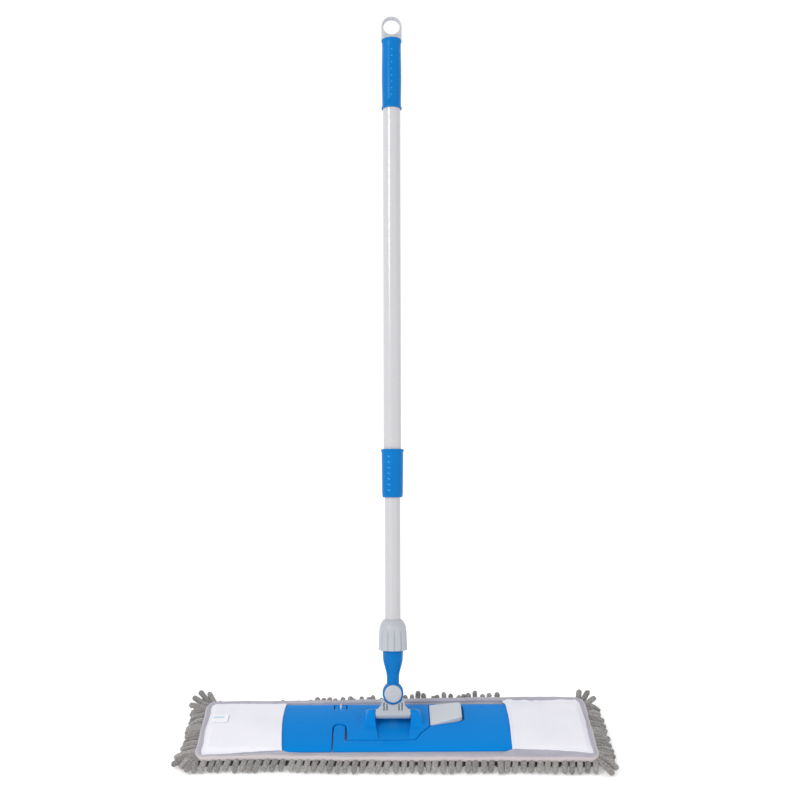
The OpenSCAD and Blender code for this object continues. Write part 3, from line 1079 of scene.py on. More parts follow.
class Grower:
    """A Geometry Nodes tree with named inputs, run on a guide and kept as plain mesh."""

    def __init__(self, name: str, sizes: dict[str, tuple[str, object]]) -> None:
        """Starts the tree.

        Args:
            name: the tree's name.
            sizes: socket type and default for each named input.
        """
        self.group = bpy.data.node_groups.new(name, "GeometryNodeTree")
        face = self.group.interface
        face.new_socket("Geometry", in_out="INPUT", socket_type="NodeSocketGeometry")
        for label, (kind, default) in sizes.items():
            item = face.new_socket(label, in_out="INPUT", socket_type=kind)
            if default is not None:
                item.default_value = default
        face.new_socket("Material", in_out="INPUT", socket_type="NodeSocketMaterial")
        face.new_socket("Geometry", in_out="OUTPUT", socket_type="NodeSocketGeometry")
        self.given = self.group.nodes.new("NodeGroupInput").outputs
        self.result = self.group.nodes.new("NodeGroupOutput")
        self.ids = {i.name: i.identifier for i in face.items_tree if i.in_out == "INPUT"}

    def add(self, kind: str, inputs: dict | None = None, **settings: object) -> bpy.types.Node:
        """Adds a node with its inputs' values or links, and its own properties.

        Args:
            kind: node's type name.
            inputs: value or link for each input.
            settings: the node's own properties.

        Returns:
            The new node.
        """
        node = self.group.nodes.new(kind)
        for key, value in settings.items():
            setattr(node, key, value)
        for key, value in (inputs or {}).items():
            if isinstance(value, bpy.types.NodeSocket):
                self.group.links.new(value, node.inputs[key])
            else:
                node.inputs[key].default_value = value
        return node

    def end(self, geometry: bpy.types.NodeSocket) -> None:
        """Ends the tree in Realize Instances and Set Material.

        Args:
            geometry: socket to end on.
        """
        real = self.add("GeometryNodeRealizeInstances", {"Geometry": geometry})
        paint = self.add(
            "GeometryNodeSetMaterial", {"Geometry": real.outputs[0], "Material": self.given["Material"]}
        )
        self.group.links.new(paint.outputs[0], self.result.inputs[0])

    def grow(
        self, name: str, guide: bpy.types.Mesh, finish: Finish, **values: object
    ) -> bpy.types.Object:
        """Runs the tree on a guide mesh.

        Args:
            name: the piece's name.
            guide: points or lines that the tree starts from, in metres.
            finish: what the piece is made of.
            values: a value for each named input, with underscores for spaces.

        Returns:
            The piece as a plain mesh.
        """
        holder = bpy.data.objects.new(name + "_guide", guide)
        bpy.context.scene.collection.objects.link(holder)
        modifier = holder.modifiers.new("grow", "NODES")
        modifier.node_group = self.group
        modifier[self.ids["Material"]] = Rack.of(finish)
        for key, value in values.items():
            modifier[self.ids[key.replace("_", " ")]] = value
        settled(holder)
        mesh = holder.data
        bpy.data.objects.remove(holder)
        book = bmesh.new()
        book.from_mesh(mesh)
        bmesh.ops.recalc_face_normals(book, faces=book.faces)
        book.to_mesh(mesh)
        book.free()
        return keep_mesh(name, mesh, None, 60.0)


def line_guide(
    name: str, lines: Sequence[np.ndarray], girths: Sequence[np.ndarray] | None = None,
    tones: Sequence[float] | None = None
) -> bpy.types.Mesh:
    """Lines in metres as a guide mesh, with a girth at each point and a tone for each line.

    Args:
        name: the guide mesh's name.
        lines: points of each line.
        girths: girth at each point.
        tones: tone of each line.

    Returns:
        The guide mesh.
    """
    mesh = bpy.data.meshes.new(name)
    points = np.concatenate(lines)
    edges, start = [], 0
    for line in lines:
        edges += [(start + k, start + k + 1) for k in range(len(line) - 1)]
        start += len(line)
    mesh.from_pydata(points.tolist(), edges, [])
    if girths is not None:
        mesh.attributes.new("girth", "FLOAT", "POINT").data.foreach_set(
            "value", np.concatenate(girths).astype(np.float32)
        )
    if tones is not None:
        spread = np.concatenate([np.full(len(line), t) for line, t in zip(lines, tones, strict=True)])
        mesh.attributes.new("tone", "FLOAT", "POINT").data.foreach_set("value", spread.astype(np.float32))
    return mesh


def noodle_tree() -> Grower:
    """Sweeps a round section along each guide line and roughens it with tufts.

    Returns:
        The tree.
    """
    g = Grower(
        "chenille_noodles",
        {
            "Sides": ("NodeSocketInt", 9),
            "Tuft size": ("NodeSocketFloat", 0.0022),
            "Tuft height": ("NodeSocketFloat", 0.0008),
            "Seed": ("NodeSocketFloat", float(SEED)),
        },
    )
    lines = g.add("GeometryNodeMeshToCurve", {"Mesh": g.given["Geometry"]})
    round_section = g.add(
        "GeometryNodeCurvePrimitiveCircle", {"Resolution": g.given["Sides"], "Radius": 1.0}
    )
    girth = g.add("GeometryNodeInputNamedAttribute", {"Name": "girth"}, data_type="FLOAT")
    swept = g.add(
        "GeometryNodeCurveToMesh",
        {
            "Curve": lines.outputs[0], "Profile Curve": round_section.outputs[0],
            "Scale": girth.outputs[0], "Fill Caps": True
        },
    )
    scale = g.add("ShaderNodeMath", {0: 1.0, 1: g.given["Tuft size"]}, operation="DIVIDE")
    tufts = g.add(
        "ShaderNodeTexNoise", {
            "W": g.given["Seed"], "Scale": scale.outputs[0], "Detail": 1.0
        }, noise_dimensions="4D"
    )
    centred = g.add("ShaderNodeMath", {0: tufts.outputs[0], 1: 0.5}, operation="SUBTRACT")
    tall = g.add(
        "ShaderNodeMath", {0: centred.outputs[0], 1: g.given["Tuft height"]}, operation="MULTIPLY"
    )
    normal = g.add("GeometryNodeInputNormal")
    push = g.add("ShaderNodeVectorMath", {0: normal.outputs[0]}, operation="SCALE")
    g.group.links.new(tall.outputs[0], push.inputs["Scale"])
    moved = g.add("GeometryNodeSetPosition", {"Geometry": swept.outputs[0], "Offset": push.outputs[0]})
    g.end(moved.outputs[0])
    return g


def stitch_tree() -> Grower:
    """Lays short lengths of thread along each guide line.

    Returns:
        The tree.
    """
    g = Grower(
        "stitches",
        {
            "Pitch": ("NodeSocketFloat", 0.003),
            "Length": ("NodeSocketFloat", 0.0021),
            "Thickness": ("NodeSocketFloat", 0.0005),
        },
    )
    lines = g.add("GeometryNodeMeshToCurve", {"Mesh": g.given["Geometry"]})
    points = g.add(
        "GeometryNodeCurveToPoints", {"Curve": lines.outputs[0], "Length": g.given["Pitch"]},
        mode="LENGTH"
    )
    bead = g.add("GeometryNodeMeshUVSphere", {"Segments": 6, "Rings": 5, "Radius": 0.5})
    size = g.add(
        "ShaderNodeCombineXYZ", {0: g.given["Thickness"], 1: g.given["Thickness"], 2: g.given["Length"]}
    )
    laid = g.add(
        "GeometryNodeInstanceOnPoints",
        {
            "Points": points.outputs[0], "Instance": bead.outputs[0],
            "Rotation": points.outputs["Rotation"], "Scale": size.outputs[0]
        },
    )
    g.end(laid.outputs[0])
    return g


def bead_tree() -> Grower:
    """Sets a row of rounded beads, such as finger bumps or ribs, on a straight line.

    Returns:
        The tree.
    """
    g = Grower(
        "bead_row",
        {
            "Count": ("NodeSocketInt", 8),
            "Start": ("NodeSocketVector", None),
            "Step": ("NodeSocketVector", None),
            "Size": ("NodeSocketVector", None),
            "Tilt": ("NodeSocketFloat", 0.0),
        },
    )
    row = g.add(
        "GeometryNodeMeshLine",
        {"Count": g.given["Count"], "Start Location": g.given["Start"], "Offset": g.given["Step"]},
        mode="OFFSET",
    )
    bead = g.add("GeometryNodeMeshUVSphere", {"Segments": 16, "Rings": 10, "Radius": 1.0})
    spin = g.add("ShaderNodeCombineXYZ", {1: g.given["Tilt"]})
    own = g.add("FunctionNodeEulerToRotation", {0: spin.outputs[0]})
    lean = g.add("FunctionNodeEulerToRotation", {0: (-LEAN, 0.0, 0.0)})
    turn = g.add(
        "FunctionNodeRotateRotation", {0: own.outputs[0], 1: lean.outputs[0]}, rotation_space="GLOBAL"
    )
    laid = g.add(
        "GeometryNodeInstanceOnPoints",
        {
            "Points": row.outputs[0], "Instance": bead.outputs[0], "Rotation": turn.outputs[0],
            "Scale": g.given["Size"]
        },
    )
    g.end(laid.outputs[0])
    return g


# ---------------------------------------------------------------- pad


def beside(x: np.ndarray | float, knots: Sequence[Pair]) -> np.ndarray | float:
    """Interpolates between knots."""
    return np.interp(x, [k[0] for k in knots], [k[1] for k in knots])


def strip_piece(
    name: str,
    grid: np.ndarray,
    thickness: float,
    finish: Finish,
    marks: dict[str, np.ndarray] | None = None,
) -> bpy.types.Object:
    """Makes a thin closed cloth from a grid of points on its upper side.

    Args:
        name: the piece's name.
        grid: rows by columns by 3, in mm.
        thickness: how thick the cloth is, in mm.
        finish: what it is made of.
        marks: named 0 to 1 attributes for the grid's points.

    Returns:
        The cloth, with a UV map in metres called cloth.
    """
    rows, cols = grid.shape[:2]
    under = grid - np.array([0, 0, thickness])
    points = np.concatenate([grid.reshape(-1, 3), under.reshape(-1, 3)]) * MM
    n = rows * cols
    faces = []
    for r in range(rows - 1):
        for c in range(cols - 1):
            a, b = r * cols + c, (r + 1) * cols + c
            faces += [(a, b, b + 1, a + 1), (n + a, n + a + 1, n + b + 1, n + b)]
    rim = [c for c in range(cols)] + [r * cols + cols - 1 for r in range(1, rows)]
    rim += [
        (rows - 1) * cols + c for c in range(cols - 2, -1, -1)
    ] + [r * cols for r in range(rows - 2, 0, -1)]
    faces += [(a, b, n + b, n + a) for a, b in zip(rim, rim[1:] + rim[:1], strict=True)]
    obj = piece(name, points, faces, finish, 60)
    along = np.concatenate([[0], np.cumsum(np.linalg.norm(np.diff(grid[:, cols // 2], axis=0), axis=1))])
    across = np.concatenate([[0], np.cumsum(np.linalg.norm(np.diff(grid[rows // 2], axis=0), axis=1))])
    uv = np.stack(np.meshgrid(along, across, indexing="ij"), axis=-1).reshape(-1, 2) * MM
    write_cloth_map(obj.data, np.concatenate([uv, uv]))
    for label, values in (marks or {}).items():
        layer = obj.data.attributes.new(label, "FLOAT", "POINT")
        layer.data.foreach_set("value", np.tile(values.reshape(-1), 2).astype(np.float32))
    return obj


def write_cloth_map(mesh: bpy.types.Mesh, uv: np.ndarray) -> None:
    """Writes a UV map called cloth from one UV pair for each point.

    Args:
        mesh: mesh to write on.
        uv: one pair for each point.
    """
    layer = mesh.uv_layers.new(name="cloth")
    corner = np.empty(len(mesh.loops), np.int32)
    mesh.loops.foreach_get("vertex_index", corner)
    layer.data.foreach_set("uv", uv[corner].astype(np.float32).reshape(-1))


def swept(
    name: str,
    path: np.ndarray,
    outward: np.ndarray,
    section: np.ndarray,
    finish: Finish,
    closed: bool,
    band: np.ndarray | None = None,
) -> bpy.types.Object:
    """Sweeps a closed section along a path.

    Args:
        name: the piece's name.
        path: the path's points, in mm.
        outward: for each path point, the level direction that the section's first axis takes.
        section: (outward, up) points, in mm.
        finish: what it is made of.
        closed: whether the path is a ring.
        band: a 0 to 1 mark for each section point.

    Returns:
        The swept piece, with a UV map called cloth and a band attribute.
    """
    count, around = len(path), len(section)
    points = []
    for p, out in zip(path, outward, strict=True):
        for a, b in section:
            points.append(tuple((p + out * a + np.array([0, 0, b])) * MM))
    faces = []
    for i in range(count if closed else count - 1):
        for k in range(around):
            a, b = i * around, ((i + 1) % count) * around
            n = (k + 1) % around
            faces.append((a + k, a + n, b + n, b + k))
    if not closed:
        faces += [tuple(range(around)), tuple(range((count - 1) * around, count * around))]
    obj = piece(name, points, faces, finish, 60)
    along = np.concatenate([[0], np.cumsum(np.linalg.norm(np.diff(path, axis=0), axis=1))]) * MM
    across = np.concatenate([[0], np.cumsum(np.linalg.norm(np.diff(section, axis=0), axis=1))]) * MM
    write_cloth_map(obj.data, np.stack(np.meshgrid(along, across, indexing="ij"), axis=-1).reshape(-1, 2))
    layer = obj.data.attributes.new("band", "FLOAT", "POINT")
    values = np.zeros(around) if band is None else band
    layer.data.foreach_set("value", np.tile(values, count).astype(np.float32))
    return obj


def crown_height(y: np.ndarray, apex: float) -> np.ndarray:
    """The frame's top over y, for an arc that rises from 3.5 to apex above the pad, with its chamfer.

    Args:
        y: place from front to back, in mm.
        apex: height of the crown.

    Returns:
        Heights in mm.
    """
    arch = PAD_TOP + 3.5 + (apex - 3.5) * (1 - ((y - FRAME_MID) / 56.0) ** 2)
    slope = 21.2 + 0.711 * np.minimum(y + 65, 47 - y)
    return smooth_min(arch, slope, 0.8)


@dataclass
class ChenillePad:
    """The pad: backing, binding, stitches, pile, fringes, pockets and tag; sizes in mm."""

    x0: float = -265.0
    x1: float = 275.0
    cloth_top: float = 20.0
    cloth_low: float = 17.0
    front_knots: tuple[Pair, ...] = (
        (-265, -76.5), (-230, -75), (-170, -73.8), (-80, -77.5), (0, -79), (150, -80.5), (275, -83)
    )
    back_knots: tuple[Pair, ...] = ((-265, 57.5), (-100, 59.5), (0, 60), (150, 61.5), (275, 62.5))
    lift_knots: tuple[Pair, ...] = (
        (-265, 1.5), (-200, 0.8), (-100, 0.6), (0, 1.8), (90, 3.2), (230, 3.2), (275, 1.5)
    )
    corner: float = 14.0
    binding_in: float = 9.0
    front_pitch: float = 10.6
    noodle_r: float = 4.0
    fold_reach: float = 15.0
    rng: random.Random = field(default_factory=lambda: random.Random(SEED))

    def edge(self, draw_in: float, step: float = 3.0) -> np.ndarray:
        """The pad's outline in plan, anticlockwise from the front left, drawn in by a distance.

        Args:
            draw_in: distance inwards.
            step: longest edge.

        Returns:
            The outline.
        """
        x0, x1 = self.x0 + draw_in, self.x1 - draw_in
        radius = max(self.corner - draw_in, 2.0)
        f0, f1 = (float(beside(x, self.front_knots)) + draw_in for x in (x0, x1))
        b0, b1 = (float(beside(x, self.back_knots)) - draw_in for x in (x0, x1))
        path = []
        for x in np.arange(x0 + radius, x1 - radius + 0.1, step):
            path.append((x, float(beside(x, self.front_knots)) + draw_in))
        path += arc((x1 - radius, f1 + radius), radius, -85, -5, 7)
        path += [(x1, y) for y in np.arange(f1 + radius, b1 - radius + 0.1, step)]
        path += arc((x1 - radius, b1 - radius), radius, 5, 85, 7)
        for x in np.arange(x1 - radius, x0 + radius - 0.1, -step):
            path.append((x, float(beside(x, self.back_knots)) - draw_in))
        path += arc((x0 + radius, b0 - radius), radius, 95, 175, 7)
        path += [(x0, y) for y in np.arange(b0 - radius, f0 + radius - 0.1, -step)]
        path += arc((x0 + radius, f0 + radius), radius, 185, 265, 7)
        loop = np.array(path)
        for _ in range(4):
            loop = (np.roll(loop, 1, axis=0) + 2 * loop + np.roll(loop, -1, axis=0)) / 4
        return loop

    def lift(self, x: np.ndarray, y: np.ndarray) -> np.ndarray:
        """How far the cloth curls up along the back edge."""
        return beside(x, self.lift_knots) * ease_in((y - 46) / 12.0)

    def build(self) -> None:
        """Builds and dresses the whole pad."""
        backing = self._backing()
        binding = self._binding()
        stitches = self._stitches()
        tree = noodle_tree()
        pile = self._pile(tree)
        long_sides = self._long_fringe(tree)
        left_end = self._end_fringe(tree, -1)
        right_end = self._end_fringe(tree, 1)
        bent(backing, Slot.TRIM, self.fold_reach, "backing_left", "backing_right")
        bent(binding, Slot.TRIM, self.fold_reach, "binding_left", "binding_right")
        bent(stitches, Slot.TRIM, self.fold_reach)
        bent(pile, Slot.CHENILLE, self.fold_reach, "pile_left", "pile_right")
        bent(long_sides, Slot.CHENILLE, self.fold_reach, "fringe_left", "fringe_right")
        dressed(left_end, Body.FRAME, Slot.CHENILLE)
        dressed(right_end, Body.WING, Slot.CHENILLE)
        self._pockets()

    def _backing(self) -> bpy.types.Object:
        """The flat cloth that carries the pile; its underside is near-black, a painted shade.

        Returns:
            The backing.
        """
        loop = [tuple(p) for p in self.edge(3.0, 5.0)]

        def top(x: np.ndarray, y: np.ndarray) -> np.ndarray:
            """Top of the cloth."""
            return self.cloth_top + self.lift(x, y)


        def base(x: np.ndarray, y: np.ndarray) -> np.ndarray:
            """Underside of the cloth."""
            return self.cloth_low + self.lift(x, y)

        plate = Plate([loop], top, base, ease=0.6, step=6.0)
        obj = plate.build("pad_backing", BACKING_CLOTH)
        # Faces turned down take the near-black cloth: painted shade under the pad.
        obj.data.materials.append(Rack.of(UNDERSIDE_SHADE_CLOTH))
        for face in obj.data.polygons:
            face.material_index = 1 if face.normal.z < -0.5 else 0
        where = np.empty(len(obj.data.vertices) * 3)
        obj.data.vertices.foreach_get("co", where)
        write_cloth_map(obj.data, where.reshape(-1, 3)[:, :2])
        return obj

    def _binding(self) -> bpy.types.Object:
        """The tape folded round the pad's edge.

        Returns:
            The binding.
        """
        loop = self.edge(0.0, 3.0)
        ahead = np.roll(loop, -1, axis=0) - np.roll(loop, 1, axis=0)
        ahead /= np.linalg.norm(ahead, axis=1)[:, None]
        outward = np.stack([ahead[:, 1], -ahead[:, 0], np.zeros(len(loop))], axis=1)
        run = np.concatenate([[0], np.cumsum(np.linalg.norm(np.diff(loop, axis=0), axis=1))])
        ripple = 0.35 * np.sin(run / 9.0) + 0.25 * np.sin(run / 3.7 + 1.0)
        path = np.concatenate([loop, np.zeros((len(loop), 1))], axis=1) + outward * ripple[:, None] * 0.8
        path[:, 2] = 0.3 * np.sin(run / 13.0 + 2.0) + self.lift(loop[:, 0], loop[:, 1])
        w = self.binding_in
        section = np.array([
            (-w, 19.0), (-w, 20.2), (-w + 0.6, 20.9), (-w + 1.6, 21.2), (-w / 2 - 0.5, 21.5), (-3.4, 21.4),
            (-2.7, 21.0), (-2.3, 21.15), (-1.4, 20.9), (-0.5, 20.0), (0.0, 18.6), (0.0, 17.0), (-0.3, 15.4),
            (-1.0, 14.4), (-2.4, 14.0), (-w + 2, 14.2), (-w, 15.2), (-w, 17.0),
        ])
        band = np.array([0, 0, 0, 0, 0, 0, 0.3, 1, 1, 1, 1, 1, 1, 1, 1, 1, 1, 0], float)
        return swept("pad_binding", path, outward, section, TRIM_TAPE, True, band)

    def _stitches(self) -> bpy.types.Object:
        """Two rows of stitches that hold the binding.

        Returns:
            The stitches.
        """
        lines = []
        for draw_in, z in ((self.binding_in - 1.7, 21.55), (3.0, 21.45)):
            loop = self.edge(draw_in, 3.0)
            loop = np.concatenate([loop, loop[:1]])
            rise = z + self.lift(loop[:, 0], loop[:, 1])
            lines.append(np.concatenate([loop, rise[:, None]], axis=1) * MM)
        return stitch_tree().grow(
            "binding_stitches", line_guide("stitch_lines", lines), THREAD, Pitch=0.0034, Length=0.0024,
            Thickness=0.0006
        )

    def noodle(
        self, root: Triple, bend: Triple, tip: Triple, radius: float, rings: int = 12
    ) -> tuple[np.ndarray, np.ndarray]:
        """One noodle as a bent line with a rounded tip.

        Args:
            root: where it leaves the cloth, in mm.
            bend: the point that it bends towards.
            tip: its far end.
            radius: its radius.
            rings: how many points it gets.

        Returns:
            Its points in metres and its girths in metres.
        """
        p0, p1, p2 = (np.array(p, float) for p in (root, bend, tip))
        t = np.linspace(0, 1, 60)[:, None]
        curve = (1 - t) ** 2 * p0 + 2 * t * (1 - t) * p1 + t * t * p2
        run = np.concatenate([[0], np.cumsum(np.linalg.norm(np.diff(curve, axis=0), axis=1))])
        length = run[-1]
        cap = [length - radius + radius * math.sin(a) for a in np.radians([0, 30, 55, 75, 88])]
        body = list(np.linspace(0, length - radius, max(rings - 5, 3), endpoint=False))
        stations = np.array(body + cap)
        reach = np.clip((stations - (length - radius)) / radius, 0, 1)
        girth = radius * np.sqrt(np.maximum(1 - reach**2, 0.0012))
        girth[0] *= 0.8
        line = np.stack([np.interp(stations, run, curve[:, i]) for i in range(3)], axis=1)
        return line * MM, girth * MM

    def _grow(
        self, tree: Grower, name: str, specs: Sequence[tuple], sides: int, rings: int
    ) -> bpy.types.Object:
        """Grows noodles from (root, bend, tip, radius) specs.

        Args:
            tree: tree that grows the noodles.
            name: the piece's name.
            specs: root, bend, tip and radius of each noodle.
            sides: sides of a noodle.
            rings: rings of a noodle.

        Returns:
            The noodles.
        """
        made = [self.noodle(*spec, rings=rings) for spec in specs]
        # Noodles that hang from the cloth to the floor, the pile and the close row behind the front fringe, take tone
        # 0.08: painted shade. The rest take a random tone.
        tones = [
            0.08 if spec[2][2] < 1.7 and spec[0][2] > 16 else self.rng.uniform(
                0.55, 1.0
            ) for spec in specs
        ]
        guide = line_guide(name + "_lines", [m[0] for m in made], [m[1] for m in made], tones)
        return tree.grow(
            name, guide, CHENILLE, Sides=sides, Tuft_size=0.0025, Tuft_height=0.0019, Seed=float(SEED)
        )

    def _pile(self, tree: Grower) -> bpy.types.Object:
        """The noodles that stand under the pad, all in the dark tone that paints the shade under it.

        Args:
            tree: tree that grows the noodles.

        Returns:
            The pile.
        """
        specs = []
        for row, y in enumerate(np.arange(-66, 56, 11.6)):
            for x in np.arange(self.x0 + 9 + (row % 2) * 6, self.x1 - 6, 12.3):
                dx, dy = self.rng.uniform(-4, 4), self.rng.uniform(-4, 4)
                r = self.rng.uniform(4.2, 5.0)
                specs.append(
                    (
                        (x, y, 17.0), (x + dx * 0.2, y + dy * 0.2, 9),
                        (x + dx, y + dy, self.rng.uniform(0.9, 1.6)), r
                    )
                )
        return self._grow(tree, "pad_pile", specs, 6, 8)

    def _long_fringe(self, tree: Grower) -> bpy.types.Object:
        """The fringes along the front and the back, and a close dark-toned row behind the front one that paints the
        shade between its noodles.

        Args:
            tree: tree that grows the noodles.

        Returns:
            The fringe.
        """
        rng, specs, r = self.rng, [], self.noodle_r
        count = 51
        for i in range(count):
            x = self.x0 + 4 + i * self.front_pitch + rng.uniform(-1.1, 1.1)
            y = float(beside(x, self.front_knots))
            lean = rng.uniform(3.0, 6.0) if x < 0 else rng.uniform(0.5, 3.0)
            if -190 < x < -150:
                lean += 3.5
            ahead = rng.uniform(5.0, 8.5)
            radius = r * rng.uniform(0.92, 1.06)
            specs.append(
                (
                    (x, y + 5.5, 14.0), (x - 0.35 * lean, y - ahead * 0.75, 15.0 + rng.uniform(-1, 1)),
                    (x - lean, y - ahead, 1.0 + rng.uniform(0, 0.9)), radius
                )
            )
        # A close row behind the front fringe; its tone paints the shade seen between the front noodles.
        for i in range(66):
            x = self.x0 + 8 + i * 8.1
            y = float(beside(x, self.front_knots)) + 9.5
            specs.append(((x, y, 17.0), (x, y - 1, 9), (x + rng.uniform(-1, 1), y - 1, 1.2), 4.6))
        for i in range(58):
            x = self.x0 + 8 + i * 9.2 + rng.uniform(-2, 2)
            y = float(beside(x, self.back_knots))
            lean = rng.uniform(-3, 3)
            back = rng.uniform(8.5, 12.5)
            shown = -110 < x < 150
            rise = rng.uniform(18.5, 23.0) + (1.5 if x > 0 else -1.5) if shown else rng.uniform(5, 12)
            if shown and x > 0 and rng.random() < 0.3:
                rise += 4.5
            specs.append(
                (
                    (x, y - 5, 14.5), (x + 0.4 * lean, y + back * 0.8, 13.0), (x + lean, y + back, rise),
                    r * rng.uniform(0.85, 1.0)
                )
            )
        return self._grow(tree, "pad_fringe_long", specs, 12, 15)

    def _end_fringe(self, tree: Grower, side: int) -> bpy.types.Object:
        """The fringe at one end, side -1 for the left and 1 for the right.

        Args:
            tree: tree that grows the noodles.
            side: -1 for the left, 1 for the right.

        Returns:
            The fringe.
        """
        rng, specs = self.rng, []
        end = self.x0 if side < 0 else self.x1

        def out(d: float) -> float:
            """The x that lies a distance outside the end."""
            return end + side * d

        for i in range(19):
            y = -68 + i * 6.6 + rng.uniform(-0.8, 0.8)
            long = rng.uniform(17, 21.5)
            slant = rng.uniform(-3.5, 3.5)
            specs.append(
                (
                    (out(-3), y, 16.5), (out(long * 0.6), y + slant * 0.4, 17.5),
                    (out(long), y + slant, rng.uniform(7, 11.5)), rng.uniform(3.15, 3.5)
                )
            )
        for i in range(11):
            y = -70 + i * 12 + rng.uniform(-1.5, 1.5)
            slant = rng.uniform(-4, 4)
            specs.append(
                (
                    (out(-3), y, 13), (out(12), y + slant * 0.5, 12),
                    (out(rng.uniform(20, 25)), y + slant, 3.9), 4.2
                )
            )
        if side < 0:
            specs += [
                ((-259, 55, 17), (-270, 66, 22), (-278, 73, 29), 4.0),
                ((-254, 57, 17), (-260, 66, 22), (-265, 71, 28), 3.9),
                ((-262, 50, 17), (-276, 60, 20), (-287, 65, 24), 4.0),
                ((-263, 45, 16), (-278, 52, 18), (-291, 56, 16), 4.0),
                ((-262, -56, 16), (-280, -62, 18), (-293, -65, 12), 3.8),
                ((-262, -62, 15), (-280, -68, 16), (-295, -73, 6), 4.0),
                ((-260, -68, 15), (-268, -78, 16), (-275, -86, 5), 4.1),
                ((-262, -62, 15), (-274, -72, 16), (-283, -79, 5), 4.1),
            ]
        else:
            specs += [
                ((266, 57, 17), (268, 66, 22), (270, 74, 27), 4.0),
                ((270, 54, 17), (277, 64, 22), (283, 70, 28), 4.0),
                ((272, 48, 17), (284, 57, 20), (292, 62, 22), 4.0),
                ((266, -73, 15), (280, -86, 14), (290, -97, 4.8), 4.3),
                ((270, -68, 15), (286, -78, 15), (298, -86, 5), 4.2),
            ]
        return self._grow(
            tree, "pad_fringe_left_end" if side < 0 else "pad_fringe_right_end", specs, 12, 15
        )

    def _cloth_over(self, x: np.ndarray, y: np.ndarray, apex: float, end: float) -> np.ndarray:
        """Height of the pocket cloth over the frame and down to the binding.

        Args:
            x: place from left to right, in mm.
            y: place from front to back, in mm.
            apex: height of the crown.
            end: x of the pocket's end.

        Returns:
            Heights in mm.
        """
        over = smooth_max(crown_height(y, apex) + 1.15, np.full_like(y, 21.0), 3.0)
        side = 1 if end > 0 else -1
        share = ease_in((end - x) * side / 9.5)
        folds = 0.22 * np.sin(x / 17 + y / 29 + end) + 0.18 * np.sin(y / 13 - x / 41)
        rim = np.minimum(y + 71.5, 52.0 - y)
        pucker = 0.35 * np.exp(-np.maximum(rim, 0) / 5.0) * np.sin(x / 2.9 + np.sin(x / 11))
        return 21.0 + self.lift(x, y) + (over - 21.0) * share + (folds + 0.4) * share + np.maximum(
            pucker, -0.2
        )

    def _pockets(self) -> None:
        """The two pockets with their hems, and the tag."""
        left_mouth = (
            (-72.0, -149.5), (-55.0, -151.0), (-20.0, -153.0), (0.0, -153.5), (25.0, -152.5),
            (54.0, -150.0)
        )
        right_mouth = (
            (-72.0, 160.0), (-60.0, 160.0), (-30.0, 161.0), (0.0, 161.5), (35.0, 160.5), (54.0, 156.0)
        )
        left_front = ((-258.0, -71.5), (-230.0, -69.0), (-200.0, -66.5), (-150.0, -64.0), (-128.0, -69.5))
        right_front = ((146.0, -70.0), (160.0, -64.5), (205.0, -66.5), (250.0, -70.5), (268.0, -73.0))
        for name, mouth, end, apex, body, node, front in (
            ("pocket_cloth_left", left_mouth, -257.0, 8.0, Body.FRAME, "pocket_left", left_front),
            ("pocket_cloth_right", right_mouth, 267.0, 6.8, Body.WING, "pocket_right", right_front),
        ):
            rows, cols = 66, 60
            v = np.linspace(0, 1, rows)[:, None]
            u = np.linspace(0, 1, cols)[None, :]
            y_high = beside(end, self.back_knots) - self.binding_in + 0.5
            across = -71.0 + (y_high + 71.0) * v
            lip = np.interp(across, [m[0] for m in mouth], [m[1] for m in mouth])
            bow = 2.5 * (1 - ((across + 9) / 62) ** 2)
            far = end + np.sign(end) * 0.6 * bow
            x = far + (lip - far) * u
            y_low = beside(x, front)
            y = y_low + (y_high - y_low) * v
            z = self._cloth_over(x, y, apex, end)
            grid = np.stack([x, y, z], axis=-1)
            cloth = strip_piece(name, grid, 0.7, POCKET_WHITE)
            fold = grid[:-3, -1].copy()
            inward = np.tile(np.array([-np.sign(end), 0.0, 0.0]), (rows - 3, 1))
            section = np.array(
                [
                    (-2.4, 0.1), (-2.1, 0.55), (-0.6, 0.7), (0.5, 0.45), (0.8, -0.2), (0.4, -0.85),
                    (-0.6, -1.0), (-2.2, -0.9), (-2.4, -0.4)
                ]
            )
            hem = swept(name.replace("cloth", "hem"), fold, inward, section, POCKET_WHITE, False)
            xs = np.linspace(front[0][0], front[-1][0], 70)[:, None]
            v = np.linspace(0, 1, 12)[None, :]
            low = beside(xs, self.front_knots) + self.binding_in - 1.0
            high = np.maximum(beside(xs, front) + 0.6, low + 1.0)
            ys = low + (high - low) * v
            xs = xs + 0 * v
            share = ease_in((ys - low) / 5.0)
            zs = 21.1 + (self._cloth_over(xs, ys, apex, end) + 0.2 - 21.1) * share
            facing = strip_piece(
                name.replace("cloth", "facing"), np.stack([xs, ys, zs], axis=-1), 0.6, TRIM_TAPE
            )
            dressed(cloth, body, Slot.POCKET, node)
            dressed(hem, body, Slot.POCKET)
            dressed(facing, body, Slot.TRIM)
        rows, cols = 14, 24
        y = np.linspace(-8, 10, rows)[:, None] + np.zeros((1, cols))
        x = np.linspace(-250, -228, cols)[None, :] + np.zeros((rows, 1))
        z = self._cloth_over(x, y, 8.0, -257.0) + 0.75 + 0.15 * np.sin(y / 4)
        stripe = ((y > 2.5) & (y < 5.0) & (x < -233) & (x > -249)).astype(float)
        z = z + 0.9 * ease_in((x + 233) / 5)
        tag = strip_piece("pocket_tag", np.stack([x, y, z], axis=-1), 0.45, TAG_SATIN, {"stripe": stripe})
        dressed(tag, Body.FRAME, Slot.TAG, "label_tag")


# ---------------------------------------------------------------- frame, joint and handle


